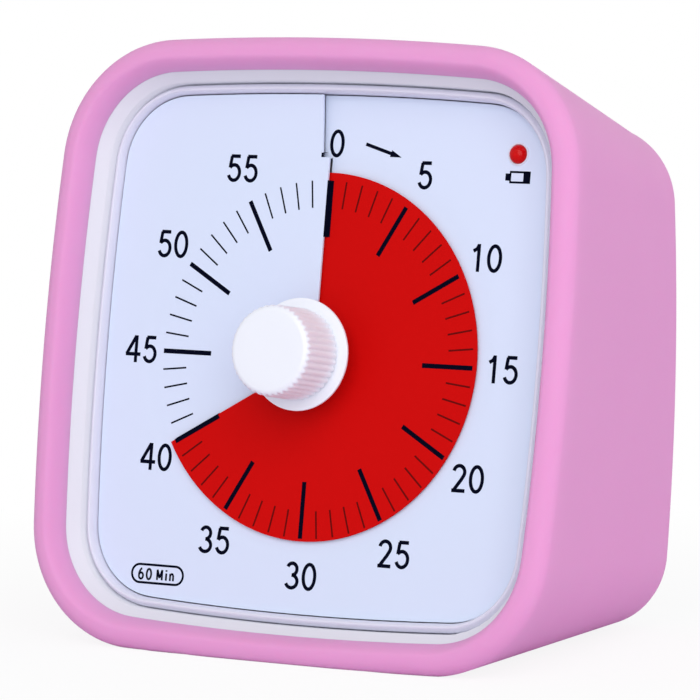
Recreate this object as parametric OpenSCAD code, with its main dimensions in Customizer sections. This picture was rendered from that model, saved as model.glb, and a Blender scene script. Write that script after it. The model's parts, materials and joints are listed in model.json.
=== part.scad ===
// Visual countdown timer: a case that leans back a little, in a soft sleeve, with a dial that is one
// shallow turn of a screw and a red disc that slides out through the dial's slit as the knob turns.
// Millimetres. X runs to the right, Y to the back and Z up. The origin is on the surface that the
// timer stands on, under the centre of its overall box.

/* [Sleeve] */
// Width of the sleeve's front
front_w = 77.4; // [76:0.2:84]
// Height of the sleeve's front, measured up the lean
front_h = 80; // [79:0.2:86]
// Corner radius of the front outline
front_corner = 16.2; // [15.4:0.1:18]
// Radius of the slightly bowed sides
side_bow = 400; // [340:10:700]
// How far the front leans back, in degrees
lean = 9; // [7:0.5:10]
// From the battery bay to the sleeve's side at the back
side_room = 5.6; // [5.2:0.1:8]
// Height of the sleeve at the back
back_h = 67; // [66:0.2:72]
// Corner radius at the back
back_corner = 10.4; // [10:0.1:14]
// How far the back leans back, in degrees
back_lean = 2; // [0:0.5:3]
// From the middle of the front to the middle of the back
sleeve_depth = 45.5; // [44.5:0.5:52]
// Thickness of the sleeve's side walls
sleeve_wall = 2.2; // [1.6:0.1:2.6]
// Rounding of the front edge
rim_round = 2.2; // [1.2:0.1:2.8]
// Rounding of the back edge
back_round = 2.4; // [1.2:0.1:2.8]
// Width of the rim that shows from the front
rim_w = 4.05; // [3.6:0.05:4.2]
// Depth of the rim, where it meets the bezel
rim_depth = 2.9; // [2.4:0.1:3.2]
// How much of the bowed underside is pressed flat
base_flat = 0.35; // [0.2:0.05:0.6]

/* [Case] */
// Gap between the sleeve and the case
sleeve_gap = 0.2; // [0.1:0.05:0.4]
// Wall of the case
case_wall = 1.4; // [1.2:0.1:1.6]
// Width of the bezel's sloping band
band_w = 1.4; // [1:0.1:1.5]
// Depth of the bezel where the band ends
band_depth = 5; // [4.6:0.1:5.3]
// Width of the dial frame's sloping face
frame_w = 1.2; // [1:0.1:1.5]
// Depth of the dial face behind the sleeve's front
face_depth = 6.6; // [6.2:0.1:7]
// Depth of the plate that carries the dial and the movement
bulkhead_depth = 9.6; // [9.2:0.1:10]
// Thickness of that plate
bulkhead_t = 1.5; // [1.2:0.1:2]
// How far the knob's axis lies below the middle of the front
axis_drop = 0.35; // [0:0.05:1]
// How far the knob's axis lies left of the middle of the front
axis_left = 0.4; // [0:0.05:0.6]

/* [Dial and disc] */
// Rise of the dial from one side of the slit to the other
pitch = 1.1; // [1.1:0.05:1.3]
// Thickness of the dial plate
dial_t = 0.3; // [0.2:0.02:0.32]
// Thickness of the red disc
disc_t = 0.2; // [0.14:0.02:0.22]
// Radius of the red disc
disc_r = 23.6; // [20:0.1:25]
// Angle of red that shows, in degrees (6 for each minute)
red_angle = 240; // [60:6:300]
// How far the red's straight edge stays short of the knob's axis
red_short = 0.25; // [0:0.05:0.5]
// Width of the dial's slit
slit_w = 0.3; // [0.2:0.05:0.6]
// How far the slit passes to the right of the knob's axis
slit_right = 0.35; // [0:0.05:0.5]
// Radius of the round hole in the middle of the dial
dial_hole_r = 4.4; // [4.2:0.1:5]
// Radius of the disc's collar
collar_r = 3.6; // [3.2:0.1:3.8]
// Radius of the indicator lamp's dome
lamp_r = 1.2; // [1:0.05:1.3]
// How far the lamp lies in from the sleeve's side
lamp_side = 12.2; // [11.9:0.1:12.9]
// How far the lamp lies below the sleeve's top
lamp_below = 13.6; // [13.4:0.1:14.2]

/* [Knob] */
// How far the cap stands in front of the sleeve
knob_out = 5; // [3.5:0.1:7]
// Radius of the ribbed grip
knob_r = 5.65; // [5:0.05:6.2]
// Radius of the flange
flange_r = 7.1; // [6.6:0.05:8]
// Thickness of the flange
flange_t = 0.4; // [0.3:0.05:0.8]
// Depth of the flange's front face
flange_depth = 2.2; // [2:0.1:2.8]
// Number of ribs round the grip
rib_count = 44; // [24:2:60]
// Height of each rib
rib_h = 0.3; // [0.1:0.02:0.4]
// Rounding of the cap's edge
cap_round = 0.6; // [0.5:0.1:1.2]
// Radius of the drive shaft
shaft_r = 2; // [1.8:0.05:2.2]

/* [Movement] */
// Half the width of the movement case
movement_hw = 22.5; // [22.5:0.1:23]
// Half the height of the movement case
movement_hh = 21.5; // [21.5:0.1:22]
// Depth of the movement case from front to back
movement_d = 13.2; // [13.2:0.1:15]
// Wall of the movement case
movement_wall = 1.2; // [0.8:0.1:1.3]
// Gear module
gear_m = 0.4; // [0.36:0.01:0.4]
// Radius of the wheels' arbors
arbor_r = 0.6; // [0.4:0.05:0.7]

/* [Back] */
// How far the rear cover stands out behind the sleeve
cover_out = 3.4; // [3.4:0.1:4.5]
// Thickness of the rear cover
cover_t = 1.6; // [1.4:0.1:1.6]
// Length of the battery
battery_l = 50; // [48:0.1:50]
// Radius of the battery
battery_r = 7.1; // [6:0.05:7.15]
// Room in the bay for the contact and the spring
battery_play = 3; // [3:0.1:3.2]
// Inner height of the battery bay
bay_h = 16; // [15.8:0.1:16.4]
// Inner depth of the battery bay
bay_d = 13.6; // [13.6:0.1:14]
// Wall of the battery bay
bay_wall = 0.8; // [0.6:0.05:0.9]
// Height of the battery's axis above the sleeve's lower edge
bay_up = 19.5; // [19.3:0.1:19.7]
// Travel of the switches' sliders
slider_travel = 4; // [3:0.2:4.4]
// Radius of the speaker
speaker_r = 8; // [7:0.1:8.2]

/* [Hidden] */
$fn = 64;

// Small allowances
thin = 0.01;
over = 1;
fit = 0.05;
seat = 0.1;
slide_gap = 0.2;

// What follows from the battery and from the front
bay_l = battery_l + battery_play;
back_w = bay_l + 2 * side_room;
bay_drop = back_h / 2 - bay_up;
lamp_x = front_w / 2 - lamp_side;
lamp_y = front_h / 2 - lamp_below;

// The front's middle and the back's middle, in the standing frame
face_z = front_h / 2 * cos(lean) - base_flat;
back_z = back_h / 2 * cos(back_lean) - base_flat;
y_first = -(front_h / 2 - rim_round) * sin(lean);
y_last = sleeve_depth + cover_out * cos(back_lean) + back_h / 2 * sin(back_lean);
face_y = -(y_first + y_last) / 2;
back_y = face_y + sleeve_depth;

// Insets from the front outline, going inwards
case_inset = sleeve_wall + sleeve_gap;
inner_inset = case_inset + case_wall;
groove_inset = rim_w + band_w;
frame_inset = groove_inset + seat;
dial_inset = groove_inset + frame_w;
frame_lip = 0.35;

// Depths behind the front, down the knob's axis
bulkhead_back = bulkhead_depth + bulkhead_t;
case_edge_depth = rim_depth + 2 * seat;
disc_gap = (pitch - dial_t - disc_t) / 2;
hub_end = 4.7;
collar_front = 5.2;
collar_l = 2.4;
lamp_board_t = 0.8;
lamp_board_w = 5;
lamp_board_h = 4;
post_r = 0.9;
post_in = 2.1;
post_y = 20;
shaft_front = -knob_out + 1.5;
shaft_flat = shaft_r * 0.78;
flat_end = bulkhead_depth - 0.4;

// The movement: its case, its layers and where its wheels turn
movement_x = 1.5;
movement_y = -2;
movement_front = bulkhead_back + seat;
movement_back = movement_front + movement_d;
case_split = movement_front + movement_d / 2;
centre_teeth = 60;
third_teeth = 50;
second_teeth = 40;
pinion_teeth = 10;
rotor_teeth = 8;
mesh_gap = 0.06;
third_dir = 235;
second_dir = -10;
rotor_dir = 30;
third_at = gear_span(centre_teeth, pinion_teeth) * [cos(third_dir), sin(third_dir)];
second_at = third_at + gear_span(third_teeth, pinion_teeth) * [cos(second_dir), sin(second_dir)];
rotor_at = second_at + gear_span(second_teeth, rotor_teeth) * [cos(rotor_dir), sin(rotor_dir)];
centre_depth = movement_front + 1.8;
third_depth = centre_depth + 2.3;
second_depth = third_depth + 2;
rotor_depth = second_depth + 2.2;
wheel_t = 0.8;
pinion_over = 0.25;
shaft_collar_r = shaft_r + 1;
wheel_hub_r = shaft_r + 1.6;
rotor_r = 3;
stator_depth = rotor_depth + 0.8;
stator_t = 1;
stator_arm = 2.4;
coil_r = 2.3;
coil_x = 18.4;
coil_l = 18;
coil_y = 5.2;
lug_r = 2.6;
lug_t = 2;
lug_y = 12;
screw_r = 0.9;
screw_head_r = 1.9;
clip_depth = movement_back + 0.3;
cam_depth = clip_depth + 0.9;
cam_t = 1.6;
cam_r = 5;
shaft_end = cam_depth + cam_t + 0.6;
leaf_t = 0.2;
leaf_w = 3;
leaf_x = 13;

// The back: cover, bay, board, switches and speaker, measured in the back's own frame
spigot_l = 2;
cover_edge = 1;
cover_seat = 0.7;
cover_inner = cover_out - cover_t;
door_over = 0.5;
boss_x = back_w / 2 - 10.7;
boss_y = back_h / 2 - 7.3;
boss_r = 2.4;
web_w = 1.6;
boss_l = 12;
cover_screw_r = 1.2;
cover_head_r = 2.2;
battery_in = bay_d - battery_r - slide_gap;
contact_t = 0.4;
contact_w = 10;
spring_plate_w = 12;
spring_r0 = 5;
spring_r1 = 2.6;
spring_wire_r = 0.2;
nub_r = 2.7;
nub_l = 1.4;
board_z = 4.4;
board_t = 1.6;
board_hw = boss_x - boss_r - 1;
board_y0 = 0.5;
board_y1 = back_h / 2 - 8.5;
board_post_r = 1.8;
board_post_x = board_hw - 2.4;
board_post_low = board_y0 + 2.3;
board_post_high = board_y1 - 2.4;
board_screw_l = 4;
board_head_t = 0.9;
chip_w = 8;
chip_h = 6;
chip_t = 1.6;
chip_y = 15;
crystal_w = 6;
crystal_h = 2.4;
crystal_t = 2;
crystal_x = 8;
crystal_y = 6;
capacitor_r = 2;
capacitor_l = 6;
capacitor_x = -8;
switch_x = speaker_r + 5;
switch_y = 12.5;
switch_w = 8;
switch_h = 4;
switch_d = 3.6;
slider_w = 3;
slider_h = 2.2;
slider_proud = 0.5;
speaker_y = 12.5;
speaker_t = 3.6;
grille_ring = 3.6;
grille_r = 0.8;

// Detail of curved outlines
side_steps = 4;
corner_steps = 9;
screw_steps = 120;
flank_steps = 2;
pressure = 20;

// ---- outlines -----------------------------------------------------------------------------------

function arc(c, r, a0, a1, n) = [
    for (i = [0 : n])
        let (a = a0 + (a1 - a0) * i / n)
        c + r * [cos(a), sin(a)]
];
function flip(pts, sx, sy) = [for (p = pts) [p[0] * sx, p[1] * sy]];
function backwards(pts) = [for (i = [len(pts) - 1 : -1 : 0]) pts[i]];
function but_last(pts) = [for (i = [0 : len(pts) - 2]) pts[i]];
function but_first(pts) = [for (i = [1 : len(pts) - 1]) pts[i]];

// A quarter of a bowed rounded rectangle: half a side, the corner, then half the next side.
function quarter(a, b, rc, rs) =
    let (
        p = [a - rs, 0],
        q = [0, b - rs],
        d = q - p,
        h = sqrt(pow(rs - rc, 2) - pow(norm(d) / 2, 2)),
        c = (p + q) / 2 + h * [-d[1], d[0]] / norm(d),
        t1 = atan2(c[1] - p[1], c[0] - p[0]),
        t2 = atan2(c[1] - q[1], c[0] - q[0])
    )
    concat(
        arc(p, rs, 0, t1, side_steps),
        but_first(arc(c, rc, t1, t2, corner_steps)),
        but_first(arc(q, rs, t2, 90, side_steps))
    );

function outline(a, b, rc, rs) =
    let (q = quarter(a, b, rc, rs))
    concat(
        but_last(q),
        but_last(backwards(flip(q, -1, 1))),
        but_last(flip(q, -1, -1)),
        but_last(backwards(flip(q, 1, -1)))
    );

module front_outline(inset) {
    polygon(outline(front_w / 2 - inset, front_h / 2 - inset, front_corner - inset, side_bow - inset));
}

module back_outline(inset) {
    polygon(outline(back_w / 2 - inset, back_h / 2 - inset, back_corner - inset, side_bow - inset));
}

// ---- frames -------------------------------------------------------------------------------------

// Z points out of the front and Y up along it.
module in_front() {
    translate([0, face_y, face_z]) rotate([90 - lean, 0, 0]) children();
}

// The same, on the knob's axis.
module on_axis() {
    in_front() translate([-axis_left, -axis_drop, 0]) children();
}

// Z points out of the back, Y up along it, and X to the right as seen from behind.
module in_back() {
    translate([0, back_y, back_z]) rotate([90 + back_lean, 0, 180]) children();
}

module front_slice(inset, depth) {
    in_front() translate([0, 0, -depth]) linear_extrude(thin) front_outline(inset);
}

module back_slice(inset, out) {
    in_back() translate([0, 0, out - thin]) linear_extrude(thin) back_outline(inset);
}

// A bar of the front outline between two depths.
module front_block(inset, depth0, depth1) {
    in_front() translate([0, 0, -depth1]) linear_extrude(depth1 - depth0) front_outline(inset);
}

// A round bar on the knob's axis between two depths.
module axis_rod(r, depth0, depth1) {
    translate([0, 0, -depth1]) cylinder(r = r, h = depth1 - depth0);
}

// ---- the dial's screw surface -------------------------------------------------------------------

// A plate that rises by pitch in one clockwise turn, t thick, with its face at depth0 at the start.
// Its straight lines pass the axis at a distance of skew.
module screw_plate(r0, r1, start, sweep, depth0, t, skew) {
    n = screw_steps;
    pts = [
        for (i = [0 : n], k = [0 : 3])
            let (
                turn = sweep * i / n,
                r = (k == 0 || k == 3) ? r0 : r1,
                a = start + turn + asin(skew / r),
                z = pitch * turn / 360 - depth0 - (k > 1 ? t : 0)
            )
            [r * sin(a), r * cos(a), z]
    ];
    sides = [
        for (i = [0 : n - 1], k = [0 : 3])
            let (a = 4 * i + k, b = 4 * i + (k + 1) % 4)
            each [[a, b, b + 4], [a, b + 4, a + 4]]
    ];
    polyhedron(pts, concat(sides, [[3, 2, 1, 0], [4 * n, 4 * n + 1, 4 * n + 2, 4 * n + 3]]), convexity = 6);
}

// Depth of the dial's face at an angle clockwise from the slit
function dial_depth(angle) = face_depth + pitch / 2 - pitch * angle / 360;
// Clock angle about the axis of a place on the front
function clock_angle(x, y) = (atan2(x + axis_left, y + axis_drop) + 360) % 360;

// ---- gears --------------------------------------------------------------------------------------

function gear_span(t1, t2) = gear_m * (t1 + t2) / 2 + mesh_gap;
function involute(r, rb) = sqrt(pow(r / rb, 2) - 1) * 180 / PI - acos(rb / r);

// Involute gear outline with a tooth on +X
function gear_outline(teeth, addendum, dedendum, slack) =
    let (
        rp = gear_m * teeth / 2,
        rb = rp * cos(pressure),
        ra = rp + addendum,
        rr = rp - dedendum,
        r0 = max(rb, rr),
        half = 90 / teeth - slack / rp * 180 / PI,
        flank = [
            for (i = [0 : flank_steps])
                let (r = r0 + (ra - r0) * i / flank_steps)
                [r, half + involute(rp, rb) - involute(r, rb)]
        ]
    )
    [
        for (k = [0 : teeth - 1], s = [-1, 1], i = [0 : flank_steps + 1])
            let (
                j = s < 0 ? i : flank_steps + 1 - i,
                f = j == 0 ? [rr, flank[0][1]] : flank[j - 1],
                a = 360 * k / teeth + s * f[1]
            )
            f[0] * [cos(a), sin(a)]
    ];

module gear(teeth, t, tooth_at, addendum) {
    rotate(tooth_at)
        linear_extrude(t)
        polygon(gear_outline(teeth, addendum * gear_m, 1.15 * gear_m, 0.1 * gear_m));
}

// ---- body ---------------------------------------------------------------------------------------

module silicone_sleeve() {
    color([0.9, 0.62, 0.83])
    difference() {
        hull() {
            front_slice(rim_round, 0);
            front_slice(rim_round * 0.3, rim_round * 0.3);
            front_slice(0, rim_round);
            back_slice(0, -back_round);
            back_slice(back_round * 0.3, -back_round * 0.3);
            back_slice(back_round, 0);
        }
        hull() {
            front_slice(sleeve_wall, rim_depth + seat);
            back_slice(sleeve_wall, over);
        }
        hull() {
            front_slice(rim_w - 0.9, -thin);
            front_slice(rim_w, rim_depth + seat + thin);
        }
        translate([-front_w, -front_w, -front_w]) cube([2 * front_w, 2 * front_w, front_w]);
    }
}

module back_boss(r, z0, z1) {
    for (sx = [-1, 1], sy = [-1, 1])
        in_back() translate([sx * boss_x, sy * boss_y, z0]) cylinder(r = r, h = z1 - z0);
}

// Webs that tie the screw bosses to the case's top and bottom walls
module boss_webs(grow) {
    reach = back_h / 2 - inner_inset + case_wall * 0.3 - boss_y;
    w = web_w + 2 * grow;
    for (sx = [-1, 1], sy = [-1, 1])
        in_back() translate([sx * boss_x - w / 2, sy * (boss_y + reach / 2) - reach / 2, -boss_l])
            cube([w, reach, boss_l - 2 * seat + 2 * grow]);
}

module lug_places() {
    for (sx = [-1, 1], sy = [-1, 1])
        translate([movement_x + sx * (movement_hw + lug_r - 0.2), movement_y + sy * lug_y, 0]) children();
}

module dial_posts() {
    post_x = front_w / 2 - dial_inset - post_in;
    for (sx = [-1, 1], sy = [-1, 1])
        let (top = dial_depth(clock_angle(sx * post_x, sy * post_y)) + dial_t + fit)
        in_front() translate([sx * post_x, sy * post_y, -bulkhead_depth - thin])
            cylinder(r = post_r, h = bulkhead_depth + thin - top, $fn = 24);
}

module front_housing() {
    color([0.9, 0.9, 0.94]) {
        difference() {
            hull() {
                front_slice(case_inset, case_edge_depth);
                back_slice(case_inset, cover_seat - seat);
            }
            hull() {
                front_slice(inner_inset, bulkhead_back);
                back_slice(inner_inset, over);
            }
            hull() {
                front_slice(rim_w, case_edge_depth - thin);
                front_slice(groove_inset, band_depth);
            }
            front_block(groove_inset + thin, band_depth - seat, bulkhead_depth);
            on_axis() axis_rod(dial_hole_r, 0, bulkhead_back + over);
            on_axis() lug_places() axis_rod(screw_r, bulkhead_depth - over, bulkhead_back + over);
        }
        dial_posts();
        difference() {
            union() {
                back_boss(boss_r, -boss_l, cover_seat - seat);
                boss_webs(0);
            }
            back_boss(cover_screw_r, -boss_l - over, over);
        }
    }
}

module dial_frame() {
    color([0.88, 0.88, 0.93])
    difference() {
        front_block(frame_inset, band_depth, bulkhead_depth - fit);
        front_block(dial_inset, band_depth - over, bulkhead_depth + over);
        hull() {
            front_slice(frame_inset + frame_lip, band_depth - thin);
            front_slice(dial_inset + seat, face_depth - pitch / 2);
        }
    }
}

module dial_plate() {
    reach = norm([front_w, front_h]) / 2;
    color([0.86, 0.88, 0.96])
    difference() {
        intersection() {
            on_axis()
                screw_plate(dial_hole_r, reach, 0.2, 359.6, dial_depth(0), dial_t, slit_right);
            front_block(dial_inset + seat, face_depth - pitch, face_depth + 2 * pitch);
        }
        on_axis() translate([slit_right - slit_w / 2, 0, -face_depth - 2 * pitch])
            cube([slit_w, reach, 4 * pitch]);
        in_front() translate([lamp_x, lamp_y, 0]) axis_rod(lamp_r + seat, 0, bulkhead_depth);
    }
}

// The lamp sits in its hole and stands a little out of the dial.
module led_lamp() {
    at = dial_depth(clock_angle(lamp_x, lamp_y));
    color("red")
    in_front() translate([lamp_x, lamp_y, 0]) {
        translate([0, 0, -at]) scale([1, 1, 0.8]) sphere(r = lamp_r);
        axis_rod(lamp_r, at, at + dial_t + seat);
        axis_rod(lamp_r + 0.3, at + dial_t + seat, bulkhead_depth - lamp_board_t);
    }
}

module led_board() {
    left = lamp_x - lamp_board_w / 2 - 0.8;
    low = lamp_y - lamp_board_h / 2 - 0.6;
    color("green")
    in_front() translate([left, low, -bulkhead_depth + thin])
        cube([lamp_board_w, lamp_board_h, lamp_board_t - thin]);
}

// ---- knob, shaft and disc -----------------------------------------------------------------------

// The shaft's section, with one flat that carries the disc and the knob round
module shaft_section(grow) {
    intersection() {
        circle(r = shaft_r + grow);
        translate([-shaft_r - 1, -shaft_r - 1]) square([2 * shaft_r + 2, shaft_r + 1 + shaft_flat + grow]);
    }
}

module time_knob() {
    ribs = rib_count * 4;
    cap_at = knob_out - cap_round;
    core_r = knob_r - rib_h * 0.8;
    wave = rib_h / 2;
    color([0.95, 0.95, 0.98])
    on_axis() difference() {
        union() {
            rotate_extrude() polygon(concat(
                [[0, -hub_end], [dial_hole_r, -hub_end], [dial_hole_r, -flange_depth - flange_t],
                 [flange_r, -flange_depth - flange_t], [flange_r, -flange_depth]],
                [[core_r, -flange_depth], [core_r, cap_at]],
                arc([knob_r - cap_round, cap_at], cap_round, 0, 90, 8),
                [[0, knob_out]]
            ));
            translate([0, 0, -flange_depth - seat])
                linear_extrude(flange_depth + cap_at + 2 * seat)
                polygon([
                    for (i = [0 : ribs - 1])
                        let (r = knob_r - 3 * thin - wave + wave * cos(90 * i), a = 360 * i / ribs)
                        r * [cos(a), sin(a)]
                ]);
        }
        translate([0, 0, -hub_end - over]) linear_extrude(hub_end + over - shaft_front + seat)
            shaft_section(fit / 2);
    }
}

module drive_shaft() {
    color("silver")
    on_axis() {
        translate([0, 0, -flat_end]) linear_extrude(flat_end - shaft_front) shaft_section(0);
        axis_rod(shaft_r, flat_end, shaft_end);
        axis_rod(shaft_collar_r, centre_depth + wheel_t + 0.5, centre_depth + wheel_t + 1.1);
    }
}

module red_disc() {
    color([0.8, 0.05, 0.05])
    on_axis() difference() {
        union() {
            axis_rod(collar_r, collar_front, collar_front + collar_l);
            screw_plate(shaft_r + 1, disc_r, red_angle + 0.2, 359.6,
                        dial_depth(red_angle) + pitch - disc_gap - disc_t, disc_t, -red_short);
        }
        translate([0, 0, -collar_front - collar_l - over]) linear_extrude(collar_l + 2 * over)
            shaft_section(fit);
    }
}

// ---- movement -----------------------------------------------------------------------------------

module movement_box(grow, depth0, depth1) {
    translate([movement_x - movement_hw - grow, movement_y - movement_hh - grow, -depth1])
        cube([2 * (movement_hw + grow), 2 * (movement_hh + grow), depth1 - depth0]);
}

module arbor_holes(depth0, depth1) {
    for (at = [third_at, second_at, rotor_at])
        translate(at) axis_rod(arbor_r + fit, depth0, depth1);
}

module movement_case_front() {
    color([0.2, 0.2, 0.22])
    on_axis() difference() {
        union() {
            movement_box(0, movement_front, case_split - fit);
            lug_places() axis_rod(lug_r, movement_front, movement_front + lug_t);
        }
        movement_box(-movement_wall, movement_front + movement_wall, case_split + over);
        axis_rod(shaft_r + fit, 0, case_split);
        arbor_holes(movement_front + 0.4, case_split);
        lug_places() axis_rod(screw_r + 0.2, 0, case_split);
    }
}

module movement_case_back() {
    color([0.24, 0.24, 0.26])
    on_axis() difference() {
        movement_box(0, case_split, movement_back);
        movement_box(-movement_wall, case_split - over, movement_back - movement_wall);
        axis_rod(shaft_r + fit, case_split, movement_back + over);
        arbor_holes(case_split, movement_back - 0.4);
    }
}

module movement_screws() {
    color("silver")
    on_axis() lug_places() {
        axis_rod(screw_r - fit, bulkhead_depth + seat, movement_front + lug_t);
        difference() {
            axis_rod(screw_head_r, movement_front + lug_t, movement_front + lug_t + 1.1);
            translate([-screw_head_r - over, -0.25, -movement_front - lug_t - 1.1 - over])
                cube([2 * screw_head_r + 2 * over, 0.5, over + 0.5]);
        }
    }
}

module centre_wheel() {
    color([0.95, 0.93, 0.85])
    on_axis() difference() {
        union() {
            translate([0, 0, -centre_depth - wheel_t]) gear(centre_teeth, wheel_t, third_dir, 0.8);
            axis_rod(wheel_hub_r, centre_depth - 0.3, centre_depth + wheel_t);
        }
        axis_rod(shaft_r + fit / 2, 0, shaft_end);
    }
}

// A dished washer that lets the knob turn the shaft while the train holds the wheel
module clutch_spring() {
    z = centre_depth + wheel_t;
    color([0.75, 0.7, 0.5])
    on_axis() rotate_extrude() polygon([
        [shaft_r + fit, -z - 0.48],
        [shaft_r + fit, -z - 0.33],
        [wheel_hub_r, -z - 0.03],
        [wheel_hub_r, -z - 0.18]
    ]);
}

module shaft_clip() {
    color([0.4, 0.4, 0.42])
    on_axis() difference() {
        axis_rod(shaft_r + 1.2, clip_depth, clip_depth + 0.5);
        axis_rod(shaft_r + fit / 2, clip_depth - over, clip_depth + over);
        translate([-0.8, 0, -clip_depth - over]) cube([1.6, shaft_r + 2, 2 * over]);
    }
}

// The cam's notch lets the contact leaf drop when no time is left.
module contact_cam() {
    color([0.92, 0.9, 0.84])
    on_axis() difference() {
        axis_rod(cam_r, cam_depth, cam_depth + cam_t);
        axis_rod(shaft_r + fit / 2, cam_depth - over, cam_depth + cam_t + over);
        rotate(red_angle) translate([cam_r, 0, 0]) axis_rod(1, cam_depth - over, cam_depth + cam_t + over);
    }
}

module contact_leaf() {
    x = cam_r + slide_gap;
    color([0.85, 0.65, 0.35])
    on_axis() {
        translate([x, -leaf_w / 2, -cam_depth - leaf_w / 2 - 0.5]) cube([leaf_t, leaf_x, leaf_w / 2]);
        translate([x, leaf_x - leaf_w, -cam_depth - leaf_w / 2 - 0.5])
            cube([leaf_w, leaf_w, cam_depth + leaf_w / 2 + 0.5 - movement_back - fit]);
    }
}

module train_wheel(at, depth, teeth, wheel_dir, pinion, pinion_dir, pinion_depth) {
    on_axis() translate(at) {
        translate([0, 0, -depth - wheel_t]) gear(teeth, wheel_t, wheel_dir, 0.8);
        translate([0, 0, -pinion_depth - wheel_t - pinion_over])
            gear(pinion, wheel_t + 2 * pinion_over, pinion_dir + 180 + 180 / pinion, 0.9);
        axis_rod(gear_m * pinion / 2 - 0.5, pinion_depth, depth);
        axis_rod(arbor_r, movement_front + 0.5, movement_back - 0.5);
    }
}

module third_wheel() {
    color([0.9, 0.3, 0.25])
    train_wheel(third_at, third_depth, third_teeth, second_dir, pinion_teeth, third_dir, centre_depth);
}

module second_wheel() {
    color([0.35, 0.6, 0.9])
    train_wheel(second_at, second_depth, second_teeth, rotor_dir, pinion_teeth, second_dir, third_depth);
}

module rotor() {
    color([0.3, 0.3, 0.32])
    on_axis() translate(rotor_at) {
        translate([0, 0, -second_depth - wheel_t - pinion_over])
            gear(rotor_teeth, wheel_t + 2 * pinion_over, rotor_dir + 180 + 180 / rotor_teeth, 0.9);
        axis_rod(gear_m * rotor_teeth / 2 - 0.5, second_depth, rotor_depth);
        axis_rod(rotor_r, rotor_depth, rotor_depth + stator_t + 1.4);
        axis_rod(arbor_r, movement_front + 0.5, movement_back - 0.5);
    }
}

// A closed magnetic loop: one leg runs through the coil, the rotor turns in a hole in the other.
module stator() {
    left = rotor_at[0] - rotor_r - 0.6;
    right = coil_x + stator_arm / 2;
    low = rotor_at[1] - rotor_r - 1.4;
    high = coil_y + coil_l / 2 + stator_arm + 0.6;
    window = rotor_at[1] + rotor_r + 1.4;
    color([0.6, 0.6, 0.62])
    on_axis() translate([0, 0, -stator_depth - stator_t]) difference() {
        translate([left, low, 0]) cube([right - left, high - low, stator_t]);
        translate([left + stator_arm, window, -over])
            cube([right - left - 2 * stator_arm, high - stator_arm - window, stator_t + 2 * over]);
        translate([rotor_at[0], rotor_at[1], -over]) cylinder(r = rotor_r + 0.4, h = stator_t + 2 * over);
    }
}

module coil() {
    depth = stator_depth + stator_t / 2;
    color([0.75, 0.4, 0.2])
    on_axis() difference() {
        union() {
            for (y = [coil_y - coil_l / 2, coil_y + coil_l / 2 - 0.8])
                translate([coil_x, y, -depth]) rotate([-90, 0, 0]) cylinder(r = coil_r, h = 0.8);
            translate([coil_x, coil_y - coil_l / 2, -depth]) rotate([-90, 0, 0])
                cylinder(r = coil_r - 0.4, h = coil_l);
        }
        translate([coil_x - stator_arm / 2 - fit, coil_y - coil_l, -stator_depth - stator_t - fit])
            cube([stator_arm + 2 * fit, 2 * coil_l, stator_t + 2 * fit]);
    }
}

// ---- back ---------------------------------------------------------------------------------------

// A bar of the back outline between two heights out of the back.
module back_block(inset, z0, z1) {
    in_back() translate([0, 0, z0]) linear_extrude(z1 - z0) back_outline(inset);
}

module bay_box(grow, z0, z1) {
    in_back() translate([-bay_l / 2 - grow, -bay_drop - bay_h / 2 - grow, z0])
        cube([bay_l + 2 * grow, bay_h + 2 * grow, z1 - z0]);
}

module board_places() {
    for (sx = [-1, 1], y = [board_post_low, board_post_high])
        in_back() translate([sx * board_post_x, y, 0]) children();
}

module grille() {
    in_back() translate([0, speaker_y, cover_inner - over]) {
        cylinder(r = grille_r, h = cover_t + 2 * over, $fn = 24);
        for (a = [0 : 60 : 300])
            rotate(a) translate([grille_ring, 0, 0]) cylinder(r = grille_r, h = cover_t + 2 * over, $fn = 24);
    }
}

module rear_cover() {
    ring = inner_inset + slide_gap;
    color([0.93, 0.93, 0.96])
    difference() {
        union() {
            back_block(case_inset + thin, cover_seat, cover_out - cover_edge - thin / 2);
            hull() {
                back_slice(case_inset, cover_out - cover_edge);
                back_slice(case_inset + cover_edge, cover_out);
            }
            difference() {
                back_block(ring, -spigot_l, cover_seat + thin);
                back_boss(boss_r + slide_gap, -spigot_l - over, cover_seat);
                boss_webs(slide_gap);
            }
        }
        difference() {
            back_block(ring + case_wall, -spigot_l - over, cover_inner);
            bay_box(bay_wall, -bay_d - over, cover_out);
            back_boss(boss_r, cover_seat, cover_out);
            board_places() translate([0, 0, -board_z]) cylinder(r = board_post_r, h = cover_out + board_z);
        }
        bay_box(0, -bay_d, cover_out + over);
        bay_box(door_over + slide_gap / 2, cover_inner, cover_out + over);
        back_boss(cover_screw_r + 0.1, -spigot_l, cover_out + over);
        back_boss(cover_head_r + 0.2, cover_inner + 0.4, cover_out + over);
        grille();
        for (sx = [-1, 1])
            in_back() translate([sx * switch_x, switch_y, 0]) slider_slot(0, cover_out + over);
    }
    color([0.93, 0.93, 0.96]) {
        difference() {
            bay_box(bay_wall, -bay_d - bay_wall, cover_seat);
            bay_box(0, -bay_d, cover_out);
        }
        difference() {
            board_places() translate([0, 0, -board_z])
                cylinder(r = board_post_r, h = cover_inner + board_z + thin);
            board_places() translate([0, 0, -board_z - over]) cylinder(r = screw_r, h = board_z);
        }
    }
}

module screw(r, head_r, head_t, l) {
    difference() {
        union() {
            translate([0, 0, -l]) cylinder(r = r, h = l);
            cylinder(r = head_r, h = head_t);
        }
        for (a = [0, 90])
            rotate(a) translate([-head_r * 0.6, -0.25, head_t - 0.5]) cube([head_r * 1.2, 0.5, over]);
    }
}

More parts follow.
